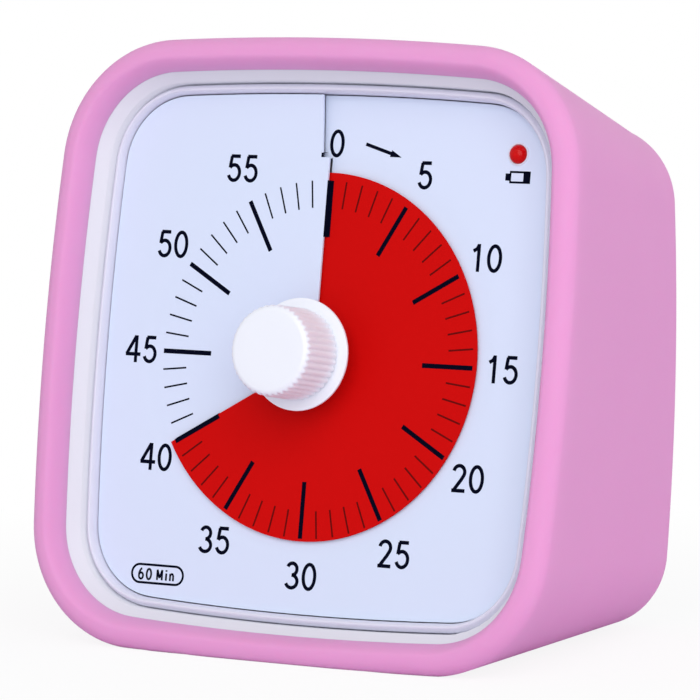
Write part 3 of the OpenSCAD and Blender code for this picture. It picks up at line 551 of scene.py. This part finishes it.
def dial_edge(clock):
    """Distance from the axis to the dial's rounded edge, read off the outline in polar form."""
    a, r = polar(*front_outline(DIAL_INSET).T)
    order = np.argsort(a % 360)
    return np.interp(np.asarray(clock) % 360, (a % 360)[order], r[order], period=360)


def screw_sheet(name, clock, radius, depth, thick):
    """A sheet on grids of clock angle and radius, closed all round: its face lies at `depth`, and its back
    `thick` behind."""
    x, v = clock_place(clock, radius)
    grid = np.concatenate([on_front(x, v, -depth), on_front(x, v, -depth - thick)[:, ::-1]], 1)
    rows, cols = grid.shape[:2]
    j = np.arange(cols // 2 - 1)
    end = np.stack([j, j + 1, cols - 2 - j, cols - 1 - j], -1)
    faces = np.concatenate([grid_faces(rows, cols, wrap_cols=True), end, end + (rows - 1) * cols])
    return new_mesh(name, grid, faces.tolist(), crease=30)


print("the dial lies", dial_depth(0), "mm deep at its start and", round(dial_depth(360), 2), "mm at its end")


# %% Dial
SWEEP_STEPS, INNER_COLS, OUTER_COLS = 481, 24, 10
EDGE_GUESS, EDGE_ROUNDS = 32.0, 4
sweep = np.linspace(0, 1, SWEEP_STEPS)[:, None]


def slit_line(radius):
    """Clock angle of the slit: straight up beside the knob, then a small step to the left beyond the jog."""
    beyond = np.clip((radius - JOG_R) / JOG_STEP, 0, 1)
    return skewed(SLIT_RIGHT + beyond * (JOG_SHIFT + JOG_LEAN * (radius - JOG_R)), radius)


def dial_grid():
    """Clock angles and radii: rows go once round, from a strip that lies under the other side of the slit to
    that other side, and columns go outwards from the hole to the rounded edge. The seam leans, so the edge's
    distance and its clock angle hang on each other, and a few rounds settle them."""
    near = np.concatenate([np.linspace(HOLE_R, JOG_R - JOG_STEP, INNER_COLS), [JOG_R + JOG_STEP]])
    near = np.broadcast_to(near, (SWEEP_STEPS, len(near)))
    edge = np.full((SWEEP_STEPS, 1), EDGE_GUESS)
    for _ in range(EDGE_ROUNDS):
        outwards = (edge - near[:, -1:]) * np.linspace(0, 1, OUTER_COLS)[1:]
        radius = np.concatenate([near, near[:, -1:] + outwards], 1)
        under = UNDERLAP + (UNDERLAP_OUT - UNDERLAP) * (radius > JOG_R)
        first, last = -skewed(under, radius), 360 - skewed(SLIT_W / 2, radius)
        clock = slit_line(radius) + first * (1 - sweep) + last * sweep
        edge = dial_edge(clock[:, -1:])
    return clock, radius


clock, radius = dial_grid()
dial_sheet = screw_sheet("dial_sheet", clock, radius, dial_depth(clock - slit_line(radius)), DIAL_T)
dress(dial_sheet, DIAL, "body", ["dial_plate"])
print("dial:", clock.shape, "places, up to", round(float(clock.max()), 2), "degrees round")

# %% Red disc
DISC_CUT, DISC_COLS = 0.2, 12
radius = np.linspace(DISC_HOLE_R, DISC_R, DISC_COLS)[None, :] + 0 * sweep
turn = RED_ANGLE + DISC_CUT + (360 - 2 * DISC_CUT) * sweep + 0 * radius
disc_sheet = screw_sheet("disc_sheet", turn - skewed(RED_SHORT, radius), radius, disc_depth(turn), DISC_T)
dress(disc_sheet, RED, "disc", ["red_disc"])
print("disc:", len(disc_sheet.data.polygons), "faces")

# %% [markdown]
# ## Printing
# Minute marks, numbers and small signs are thin films of ink. They could be painted in an image or made
# with text objects, but an image blurs close up, and a font's shapes are its maker's. Here each stroke is
# a ribbon with a real, tiny thickness that follows the screw surface under it.

# %% Ribbons of ink
INK_LIFT = 0.02


def ribbon(path, width):
    """Left and right edges of a stroke: points half a width to each side of the path, square to it."""
    path = np.array(path, float)
    along = np.gradient(path, axis=0)
    along /= np.linalg.norm(along, axis=1)[:, None]
    side = np.stack([-along[:, 1], along[:, 0]], -1) * (np.broadcast_to(width, len(path)) / 2)[:, None]
    return path + side, path - side


def ink(name, strokes, depth_of, material, body):
    """One mesh of many strokes, each a thin closed bar that reaches INK_LIFT to both sides of the surface
    whose depth is depth_of(x, v)."""
    points, faces, start = [], [], 0
    for path, width in strokes:
        left, right = ribbon(path, width)
        corners = ((left, -INK_LIFT), (left, INK_LIFT), (right, INK_LIFT), (right, -INK_LIFT))
        bar = [on_front(e[:, 0], e[:, 1], -depth_of(e[:, 0], e[:, 1]) + lift) for e, lift in corners]
        bar = np.stack(bar, 1)
        rows = len(bar)
        points.append(bar.reshape(-1, 3))
        faces += grid_faces(rows, 4, wrap_cols=True, start=start).tolist()
        faces += [list(range(start, start + 4)), list(range(start + 4 * rows - 4, start + 4 * rows))]
        start += 4 * rows
    print(name, "has", len(strokes), "strokes")
    return dress(new_mesh(name, np.concatenate(points), faces, crease=20), material, body)


def dial_at(x, v):
    """Depth of the dial under a place on the front."""
    clock, radius = polar(x, v)
    return dial_depth((clock - slit_line(np.maximum(radius, HOLE_R))) % 360)


def disc_at(x, v):
    """Depth of the disc under a place on the front, on the branch that is reached once round from its end."""
    clock, radius = polar(x, v)
    turn = (clock + skewed(RED_SHORT, radius)) % 360
    return disc_depth(np.where(turn < RED_ANGLE, turn + 360, turn))


# %% [markdown]
# ## Minute marks
# Sixty strokes point at a centre that lies a little beside the knob's axis, as a print is never quite in
# line with what it is glued to. The dial and the disc both carry them, so the ring is whole at any time.
# Two long ones stand beside a cut edge and are moved off it.

# %% Minute marks
MARK_X, MARK_V, MARK_R = -0.24, -0.69, 22.91
LONG_MARK, SHORT_MARK = 0.684, 0.847
LONG_W, SHORT_W = 0.6, 0.22
ZERO_SHIFT, END_SHIFT = 0.2, -0.2


def mark(minute, long, shift=0.0):
    """A radial stroke at a minute, from its inner end out to the ring of marks, moved sideways by shift."""
    a = math.radians(6 * minute)
    r = np.linspace(LONG_MARK if long else SHORT_MARK, 1, 6)[:, None] * MARK_R
    return [MARK_X, MARK_V] + r * [math.sin(a), math.cos(a)] + np.array([math.cos(a), -math.sin(a)]) * shift


long_minutes, short_minutes = range(0, 60, 5), [m for m in range(60) if m % 5]
short_marks = {m: (mark(m, False), SHORT_W) for m in short_minutes}
dial_long = {m: (mark(m, True, ZERO_SHIFT if m == 0 else 0), LONG_W) for m in long_minutes}
red_shift = {0: ZERO_SHIFT, round(RED_ANGLE / 6): END_SHIFT}
disc_long = [(mark(m, True, red_shift.get(m, 0)), LONG_W) for m in long_minutes]
dial_marks = {**dial_long, **short_marks}
ink("dial_marks", [dial_marks[m] for m in range(60)], dial_at, INK, "body")
ink("disc_long_marks", disc_long, disc_at, INK, "disc")
ink("disc_short_marks", list(short_marks.values()), disc_at, RED_INK, "disc")

# %% [markdown]
# ## Numbers
# The numbers are in a plain narrow hand, one pen wide. Each sign is drawn from lines and arcs in a box of
# one unit and then stretched to its size, so the same drawing serves large and small.


# %% Signs in a box of one unit
def bow(cx, cy, rx, ry, a0, a1, steps=22):
    """Points on an ellipse between two angles, in degrees."""
    a = np.radians(np.linspace(a0, a1, steps))
    return np.stack([cx + rx * np.cos(a), cy + ry * np.sin(a)], -1)


ROUND = 366
SIGNS = {
    "0": [bow(0, 0, 0.5, 0.5, 0, ROUND, 44)],
    "1": [[(-0.34, 0.27), (-0.05, 0.36), (0.12, 0.52)], [(0.12, 0.56), (0.12, -0.56)]],
    "2": [
        np.concatenate([bow(0, 0.24, 0.46, 0.26, 170, -25), [(0.18, -0.08), (-0.42, -0.52)]]),
        [(-0.56, -0.5), (0.56, -0.5)],
    ],
    "3": [bow(-0.02, 0.26, 0.42, 0.24, 158, -85), bow(-0.02, -0.24, 0.5, 0.26, 92, -160)],
    "4": [[(0.2, 0.54), (-0.6, -0.22)], [(-0.68, -0.22), (0.66, -0.22)], [(0.24, 0.56), (0.24, -0.56)]],
    "5": [[(0.5, 0.5), (-0.32, 0.5)], [(-0.26, 0.5), (-0.38, 0.02)], bow(0.0, -0.18, 0.5, 0.32, 140, -160)],
    "6": [bow(0, -0.2, 0.46, 0.3, 0, ROUND, 30), bow(0.3, -0.2, 0.76, 0.72, 178, 100)],
    "M": [
        [(-0.5, -0.5), (-0.5, 0.5)], [(-0.5, 0.5), (0, -0.3)],
        [(0, -0.3), (0.5, 0.5)], [(0.5, 0.5), (0.5, -0.5)],
    ],
    "i": [[(0, -0.5), (0, 0.2)], [(0, 0.36), (0, 0.52)]],
    "n": [[(-0.5, -0.5), (-0.5, 0.2)], np.concatenate([bow(0, -0.1, 0.48, 0.28, 170, 0), [(0.48, -0.5)]])],
}


def letter(sign, x, v, w, h, stroke):
    """The strokes of one sign, whose outer box is w by h millimetres and is centred on x, v."""
    size = np.array([w - stroke, h - stroke])
    return [(np.array(path) * size + [x, v], stroke) for path in SIGNS[sign]]


print("signs drawn:", *SIGNS)


# %% Numbers round the dial
DIGIT_W, DIGIT_H, DIGIT_STEP, DIGIT_STROKE = 2.15, 3.6, 2.52, 0.47
NUMBERS_V, NUMBERS_REACH_X, NUMBERS_REACH_V = -0.64, 26.58, 27.70
strokes = []
for number in range(0, 60, 5):
    a = math.radians(6 * number)
    x, v = NUMBERS_REACH_X * math.sin(a), NUMBERS_V + NUMBERS_REACH_V * math.cos(a)
    digits = str(number)
    for k, sign in enumerate(digits):
        at = x + (k - (len(digits) - 1) / 2) * DIGIT_STEP
        strokes += letter(sign, at, v, DIGIT_W, DIGIT_H, DIGIT_STROKE)
ink("dial_numbers", strokes, dial_at, INK, "body")

# %% [markdown]
# ## Small signs
# An arrow shows which way to turn, a pill-shaped frame holds the longest time, and a little battery sits
# under the lamp. A short stroke of black ink at the end of the slit is painted shade: it stands for the
# dark hole that the two sheets leave there.


# %% Arrow
def straight(a, b, steps=6):
    """A straight path from a to b."""
    t = np.linspace(0, 1, steps)[:, None]
    return np.array(a) * (1 - t) + np.array(b) * t


ARROW_TAIL, ARROW_NECK, ARROW_TIP = (4.29, 27.09), (8.06, 25.98), (9.6, 25.53)
ARROW_SHAFT, ARROW_HEAD = 0.44, np.linspace(0.9, 0.04, 6)
signs = [(straight(ARROW_TAIL, ARROW_NECK), ARROW_SHAFT), (straight(ARROW_NECK, ARROW_TIP), ARROW_HEAD)]
print("arrow strokes:", len(signs))

# %% The longest time in its pill
PILL_X, PILL_V, PILL_W, PILL_H, PILL_STROKE = -21.45, -29.65, 8.1, 2.65, 0.3
PILL_SIGNS = [
    ("6", -23.95, 0.95), ("0", -22.75, 0.95), ("M", -21.1, 1.0), ("i", -20.1, 0.5), ("n", -19.25, 0.75),
]
PILL_DROP, PILL_SIGN_H, PILL_SIGN_STROKE, PILL_LAP = 0.05, 1.6, 0.27, 0.1
pill_r = (PILL_H - PILL_STROKE) / 2
pill_a = PILL_W / 2 - PILL_STROKE / 2 - pill_r
pill = np.concatenate([
    bow(PILL_X + pill_a, PILL_V, pill_r, pill_r, -90, 90, 16),
    bow(PILL_X - pill_a, PILL_V, pill_r, pill_r, 90, 270, 16),
    [(PILL_X + pill_a, PILL_V - pill_r), (PILL_X + pill_a + PILL_LAP, PILL_V - pill_r)],
])
signs.append((pill, PILL_STROKE))
for sign, x, w in PILL_SIGNS:
    signs += letter(sign, x, PILL_V - PILL_DROP, w, PILL_SIGN_H, PILL_SIGN_STROKE)
print("with the pill:", len(signs))

# %% Battery sign and the slit's end
CELL_X0, CELL_X1, CELL_V0, CELL_V1 = 24.89, 28.44, 22.75, 24.25
CELL_NUB, CELL_NUB_H, CELL_LINE, CELL_SIDE, CELL_FILL = 0.7, 0.9, 0.26, 0.22, 1.0
LINE_IN, LINE_LAP = 0.1, 0.1
# SLIT_END_* place and size the stroke of painted shade at the slit's end.
SLIT_END_X, SLIT_END_V, SLIT_END_HALF, SLIT_END_W = -0.02, 0.35, 0.35, 0.36
cell_mid = (CELL_V0 + CELL_V1) / 2
line_x0, nub_x, fill_x = CELL_X0 + CELL_NUB - LINE_LAP, CELL_X0 + CELL_NUB, CELL_X1 - CELL_FILL / 2
end_x, end_v = AXIS_X + JOG_SHIFT + SLIT_END_X, AXIS_V + JOG_R + SLIT_END_V
signs += [
    (straight((line_x0, CELL_V1 - LINE_IN), (CELL_X1, CELL_V1 - LINE_IN)), CELL_LINE),
    (straight((line_x0, CELL_V0 + LINE_IN), (CELL_X1, CELL_V0 + LINE_IN)), CELL_LINE),
    (straight((nub_x, CELL_V0), (nub_x, CELL_V1)), CELL_SIDE),
    (straight((fill_x, CELL_V0), (fill_x, CELL_V1)), CELL_FILL),
    (straight((CELL_X0, cell_mid), (nub_x, cell_mid)), CELL_NUB_H),
    # Painted shade: this last stroke is black ink where the hole at the slit's end looks dark.
    (straight((end_x, end_v - SLIT_END_HALF), (end_x, end_v + SLIT_END_HALF)), SLIT_END_W),
]
ink("dial_signs_and_hole_shade", signs, dial_at, INK, "body")

# %% [markdown]
# ## The knob
# A round white knob with a flat cap, fine ribs for the fingers and a thin flange near the dial. Forty-two
# small grooves cut by a Boolean would leave thin, broken faces. Instead the knob is a surface of
# revolution whose radius also waves with the angle, and a share along the profile says how deep the ribs
# are: none on the cap, full on the grip.

# %% Knob: profile
KNOB_R, KNOB_OUT, CAP_ROUND = 5.78, 5.0, 0.9
GRIP_TAPER, GRIP_LIFT, NECK_IN, NECK_STEP = 0.1, 0.3, 0.35, 0.02
FLANGE_R, FLANGE_OUT, FLANGE_T, FLANGE_DISH, FOOT_SOFT = 7.18, -2.3, 0.4, 0.1, 0.1
HUB_R, HUB_OUT = 2.2, -4.7
RIBS, RIB_H, RIB_SHARPNESS, RIB_START = 42, 0.25, 2.0, 0.4
CAP_STEPS, GRIP_STEPS, TURN_STEPS = 9, 12, RIBS * 10
TOP_RADII = (0.01, 1.5, 3.0)


def knob_profile():
    """Radius, height and rib share along the knob, from the middle of its cap to the back of its hub: a flat
    top, a quarter circle, a slightly widening grip, a neck, the flange and the hub."""
    top = np.array([[r, KNOB_OUT, 0] for r in TOP_RADII])
    t = np.linspace(0, math.pi / 2, CAP_STEPS)
    ribbed = np.clip((t / math.pi * 2 - RIB_START) / (1 - RIB_START), 0, 1)
    cap = np.stack([KNOB_R - CAP_ROUND * (1 - np.sin(t)), KNOB_OUT - CAP_ROUND * (1 - np.cos(t)), ribbed], -1)
    grip_top, grip_end, grip_r = KNOB_OUT - CAP_ROUND, FLANGE_OUT + GRIP_LIFT, KNOB_R + GRIP_TAPER
    s = np.linspace(0, 1, GRIP_STEPS)[1:]
    grip = np.stack([KNOB_R + GRIP_TAPER * s, grip_top + (grip_end - grip_top) * s, 1 + 0 * s], -1)
    neck, under = KNOB_R - NECK_IN, FLANGE_OUT - FLANGE_T
    foot = softened([
        (grip_r, grip_end), (neck, grip_end - NECK_STEP), (neck, FLANGE_OUT), (FLANGE_R, FLANGE_OUT),
        (FLANGE_R, under), (HOLE_R, under - FLANGE_DISH), (HOLE_R, HUB_OUT),
    ], FOOT_SOFT)[1:]
    foot = np.concatenate([foot, foot[:, :1] * 0], 1)
    return np.concatenate([top, cap, grip, foot, [[HUB_R, HUB_OUT, 0]]])


print("knob's profile has", len(knob_profile()), "places")


# %% Knob: surface
def knob_grid():
    """Radius = profile radius less a groove whose depth is a power of a cosine wave of the angle, one wave
    for each rib, times the rib share."""
    r, out, ribbed = knob_profile().T[:, :, None]
    a = np.linspace(0, 2 * math.pi, TURN_STEPS, endpoint=False)[None, :]
    groove = (0.5 + 0.5 * np.cos(RIBS * a)) ** RIB_SHARPNESS
    r = r - RIB_H * groove * ribbed
    return on_front(AXIS_X + r * np.sin(a), AXIS_V + r * np.cos(a), out)


time_knob_skin = new_surface("time_knob_skin", knob_grid(), wrap_cols=True, caps=True)
dress(time_knob_skin, KNOB, "knob", ["time_knob"])
print("knob:", len(time_knob_skin.data.polygons), "faces")

# %% [markdown]
# ## The lamp
# A small red lamp stands in a hole of the dial. A squashed sphere would do from afar, but it has no
# skirt. Its dome is half an ellipsoid that runs on into a short skirt, all one turned profile, and a thin
# white ring covers the hole's edge.

# %% Lamp
LAMP_X, LAMP_V, LAMP_R, LAMP_H = 26.5, 26.4, 1.2, 0.96
POLE, DOME_STEPS = 1.56, 12
SKIRT_R, SKIRT_IN, LAMP_BACK = 1.5, 0.4, -8.8
RING_PROFILE = [(1.22, -0.05), (1.24, 0.14), (1.46, 0.14), (1.5, -0.05)]
RING_SOFT = 0.08
lamp_out = -float(dial_at(LAMP_X, LAMP_V))


def turned(name, profile, x, v, steps=48):
    """A surface of revolution about a line square to the front, from (radius, out) places."""
    p = np.array(profile, float)
    a = np.linspace(0, 2 * math.pi, steps, endpoint=False)[None, :]
    grid = on_front(x + p[:, :1] * np.sin(a), v + p[:, :1] * np.cos(a), p[:, 1:])
    return new_surface(name, grid, wrap_cols=True, caps=True)


dome = [(LAMP_R * math.cos(t), lamp_out + LAMP_H * math.sin(t)) for t in np.linspace(POLE, 0, DOME_STEPS)]
skirt = [(LAMP_R, lamp_out - SKIRT_IN), (SKIRT_R, lamp_out - SKIRT_IN), (SKIRT_R, LAMP_BACK)]
dress(turned("lamp_dome", dome + skirt, LAMP_X, LAMP_V), LENS, "body", ["led_lamp"])
ring = softened([(r, lamp_out + out) for r, out in RING_PROFILE], RING_SOFT)
dress(turned("lamp_ring", ring, LAMP_X, LAMP_V), FRAME, "body")
print("lamp stands at", round(lamp_out, 3), "mm")

# %% [markdown]
# ## The case and the back
# The rear cover, the battery door, the sliders and the screws are hard moulded or turned pieces whose CAD
# shapes are right, but real edges are never sharp. They could be drawn again with rounds; it is simpler
# to take a copy of each, merge its loose triangles, free it of flat seams and let a Bevel modifier round
# its edges. The screws take the smallest bevel, the cover the largest.


# %% Softened copies of hard pieces
CAD_SAME_PLACE = 2e-6
FLAT_ANGLE, EDGE_ANGLE, BEVEL_STEPS = 1.0, 32, 2


def merged_copy(node, name):
    """A copy of a CAD node's mesh, with its loose triangles joined."""
    mesh = nodes[node].data.copy()
    mesh.name = name
    shell = bmesh.new()
    shell.from_mesh(mesh)
    bmesh.ops.remove_doubles(shell, verts=shell.verts, dist=CAD_SAME_PLACE)
    shell.to_mesh(mesh)
    shell.free()
    return mesh


def softened_copy(node, name, width, material, body):
    """A merged copy of a CAD node, freed of its flat seams and bevelled along its edges."""
    mesh = merged_copy(node, name)
    shell = bmesh.new()
    shell.from_mesh(mesh)
    flat = math.radians(FLAT_ANGLE)
    bmesh.ops.dissolve_limit(shell, angle_limit=flat, verts=shell.verts, edges=shell.edges)
    shell.to_mesh(mesh)
    shell.free()
    piece = add_piece(name, mesh, EDGE_ANGLE)
    bevel = piece.modifiers.new("edge", "BEVEL")
    bevel.width = width * MM
    bevel.segments = BEVEL_STEPS
    bevel.limit_method = "ANGLE"
    bevel.angle_limit = math.radians(EDGE_ANGLE)
    bevel.use_clamp_overlap = True
    bevel.harden_normals = True
    return dress(piece, material, body, [node])


print("edges over", EDGE_ANGLE, "degrees are rounded in", BEVEL_STEPS, "steps")


# %% [markdown]
# ## The housing and its groove
# The housing keeps its CAD shape as well, with one change: the inner edge of its sloping band stands back
# from the bead, so that the groove between them opens. Each point on that edge is found by its distance
# to the edge's outline and takes the step from there to a slightly larger outline.

# %% Housing
BAND_INSET, BAND_DEPTH = 5.45, 5.0
GROOVE_INSET, GROOVE_DEPTH = 5.2, 4.66
RING_NEAR_DEPTH, RING_NEAR = 0.12, 1.2


def open_groove(mesh):
    """Moves the band's inner edge outwards: each point on that ring takes the step between two outlines."""
    at = np.array([v.co for v in mesh.vertices]) / MM
    y, z = at[:, 1] - FACE_Y, at[:, 2] - FACE_Z
    depth = y * math.cos(LEAN) - z * math.sin(LEAN)
    edge, opened = front_ring(BAND_INSET, BAND_DEPTH), front_ring(GROOVE_INSET, GROOVE_DEPTH)
    gap = np.linalg.norm(at[:, None] - edge[None], axis=2)
    ring = np.flatnonzero((abs(depth - BAND_DEPTH) < RING_NEAR_DEPTH) & (gap.min(1) < RING_NEAR))
    step = (opened - edge)[gap[ring].argmin(1)] * MM
    for k, move in zip(ring, step):
        mesh.vertices[k].co += Vector(move)
    return len(ring)


housing_mesh = merged_copy("front_housing", "front_housing_skin")
print("points of the groove's edge:", open_groove(housing_mesh))
front_housing_skin = add_piece("front_housing_skin", housing_mesh, EDGE_ANGLE)
dress(front_housing_skin, SHELL, "body", ["front_housing"])

# %% Cover, door, sliders and screws
softened_copy("rear_cover", "rear_cover_skin", 0.18, SHELL, "body")
softened_copy("battery_door", "battery_door_skin", 0.12, SHELL, "door")
softened_copy("volume_slider", "volume_slider_skin", 0.08, BLACK, "volume")
softened_copy("alarm_slider", "alarm_slider_skin", 0.08, BLACK, "alarm")
softened_copy("rear_screws", "rear_screws_skin", 0.07, STEEL, "body")
print("meshes now:", len(bpy.data.meshes))

# %% [markdown]
# ## Floor
# The timer stands on a pale floor. More light would turn the floor white, but it would bleach the timer
# too. Instead the floor shows itself as white to the camera alone, through Is Camera Ray, and lights the
# timer as a pale grey-violet cloth would. Close to the timer the white gives way a little, so that some
# of the shadow is still seen under it.

# %% Floor
FLOOR_HALF, FLOOR_COLOUR, WHITE = 4.0, rgb(236, 231, 244), (1, 1, 1, 1)
FLOOR_FADE = {"From Min": 0.05, "From Max": 0.14, "To Min": 0.88, "To Max": 1.0}
floor_corners = [(x * FLOOR_HALF, y * FLOOR_HALF, 0) for x, y in ((-1, -1), (1, -1), (1, 1), (-1, 1))]
floor_mesh = bpy.data.meshes.new("floor")
floor_mesh.from_pydata(floor_corners, [], [(0, 1, 2, 3)])
floor = bpy.data.objects.new("floor", floor_mesh)
bpy.context.scene.collection.objects.link(floor)
floor_mat = bpy.data.materials.new("floor")
floor_mat.use_nodes = True
floor_mesh.materials.append(floor_mat)
tree = floor_mat.node_tree
tree.nodes.remove(tree.nodes["Principled BSDF"])
cloth, glow, mixed, ray, colour, share = add_nodes(
    tree, "ShaderNodeBsdfDiffuse", "ShaderNodeEmission", "ShaderNodeMixShader", "ShaderNodeLightPath",
    "ShaderNodeMix", "ShaderNodeMath",
)
spot, reach, fade = add_nodes(tree, "ShaderNodeTexCoord", "ShaderNodeVectorMath", "ShaderNodeMapRange")
reach.operation, share.operation, colour.data_type = "LENGTH", "MULTIPLY", "RGBA"
glow.inputs["Strength"].default_value = 1.0
colour.inputs[MIX_A].default_value, colour.inputs[MIX_B].default_value = FLOOR_COLOUR, WHITE
for socket, value in FLOOR_FADE.items():
    fade.inputs[socket].default_value = value
camera_ray = ray.outputs["Is Camera Ray"]
wire(
    tree,
    (camera_ray, colour.inputs[0]), (colour.outputs[MIX_RESULT], cloth.inputs["Color"]),
    (spot.outputs["Object"], reach.inputs[0]), (reach.outputs["Value"], fade.inputs["Value"]),
    (camera_ray, share.inputs[0]), (fade.outputs["Result"], share.inputs[1]),
    (share.outputs[0], mixed.inputs[0]), (cloth.outputs[0], mixed.inputs[1]),
    (glow.outputs[0], mixed.inputs[2]), (mixed.outputs[0], tree.nodes["Material Output"].inputs["Surface"]),
)
print("floor is", 2 * FLOOR_HALF, "m wide")

# %% [markdown]
# ## Room
# The room around is white to the camera and to shiny and clear things, which mirror it, and a plain grey
# as a source of light, so that pale plastic keeps its tones.

# %% World
ROOM_LIGHT = (0.5, 0.51, 0.52, 1)
world = bpy.data.worlds.new("studio")
bpy.context.scene.world = world
world.use_nodes = True
tree = world.node_tree
ray, colour, first, both = add_nodes(
    tree, "ShaderNodeLightPath", "ShaderNodeMix", "ShaderNodeMath", "ShaderNodeMath",
)
colour.data_type = "RGBA"
colour.inputs[MIX_A].default_value, colour.inputs[MIX_B].default_value = ROOM_LIGHT, WHITE
first.operation = both.operation = "MAXIMUM"
wire(
    tree,
    (ray.outputs["Is Camera Ray"], first.inputs[0]), (ray.outputs["Is Glossy Ray"], first.inputs[1]),
    (first.outputs[0], both.inputs[0]), (ray.outputs["Is Transmission Ray"], both.inputs[1]),
    (both.outputs[0], colour.inputs[0]),
    (colour.outputs[MIX_RESULT], tree.nodes["Background"].inputs["Color"]),
)
print("world:", world.name)

# %% [markdown]
# ## Light
# Two large square lamps stand in for softboxes: the key in front, above and to the right, and a weaker
# one at the right side for the wall that turns away. Large lamps give soft, faint shadows, as near a big
# window; small ones would draw hard edges on the rim.


# %% Lamps of the studio
def softbox(name, place, target, size, power, colour):
    """A square area lamp at a place, turned to a target; sizes in metres and power in watts."""
    data = bpy.data.lights.new(name, "AREA")
    data.size, data.energy, data.color = size, power, colour
    lamp = bpy.data.objects.new(name, data)
    lamp.location = place
    lamp.rotation_mode = "QUATERNION"
    lamp.rotation_quaternion = (Vector(target) - Vector(place)).to_track_quat("-Z", "Y")
    bpy.context.scene.collection.objects.link(lamp)
    return lamp


TIMER_MIDDLE = (0, 0, 0.04)
softbox("key_box", (0.52, -0.92, 0.58), TIMER_MIDDLE, 1.1, 8.6, (1, 1, 1))
softbox("side_box", (1.05, 0.25, 0.14), TIMER_MIDDLE, 0.7, 2.4, (1.0, 0.9, 1.0))
print("lamps:", len(bpy.data.lights))

# %% [markdown]
# ## Camera
# The camera stands to the right of the timer and a little above its middle, about 60 cm away, with a long
# lens that keeps the sides nearly parallel. A Track To constraint could aim it, but then a change of aim
# would turn it as well. The camera's own three axes are worked out instead, and it is moved along two of
# them to frame the timer.

# %% Camera
CAM_AZ, CAM_EL = math.radians(30.681), math.radians(5.414)
CAM_DIST, CAM_TX, CAM_TY, PX_PER_MM = 617.45, -7.359, -0.036, 7.9227
IMAGE_PX, SENSOR = 700, 36.0
back = np.array([math.sin(CAM_AZ) * math.cos(CAM_EL), -math.cos(CAM_AZ) * math.cos(CAM_EL), math.sin(CAM_EL)])
right = np.array([math.cos(CAM_AZ), math.sin(CAM_AZ), 0])
up = np.cross(back, right)
place = np.array([0, FACE_Y, FACE_Z]) + CAM_DIST * back - CAM_TX * right - CAM_TY * up
camera_data = bpy.data.cameras.new("camera")
camera_data.sensor_width = SENSOR
camera_data.lens = PX_PER_MM * CAM_DIST * SENSOR / IMAGE_PX
camera = bpy.data.objects.new("camera", camera_data)
turn = Matrix(np.stack([right, up, back], 1).tolist()).to_4x4()
camera.matrix_world = Matrix.Translation(Vector(place * MM)) @ turn
bpy.context.scene.collection.objects.link(camera)
bpy.context.scene.camera = camera
bpy.context.scene.view_settings.view_transform = "Standard"
print("camera at", np.round(place, 1), "mm, lens", round(camera_data.lens, 1), "mm")
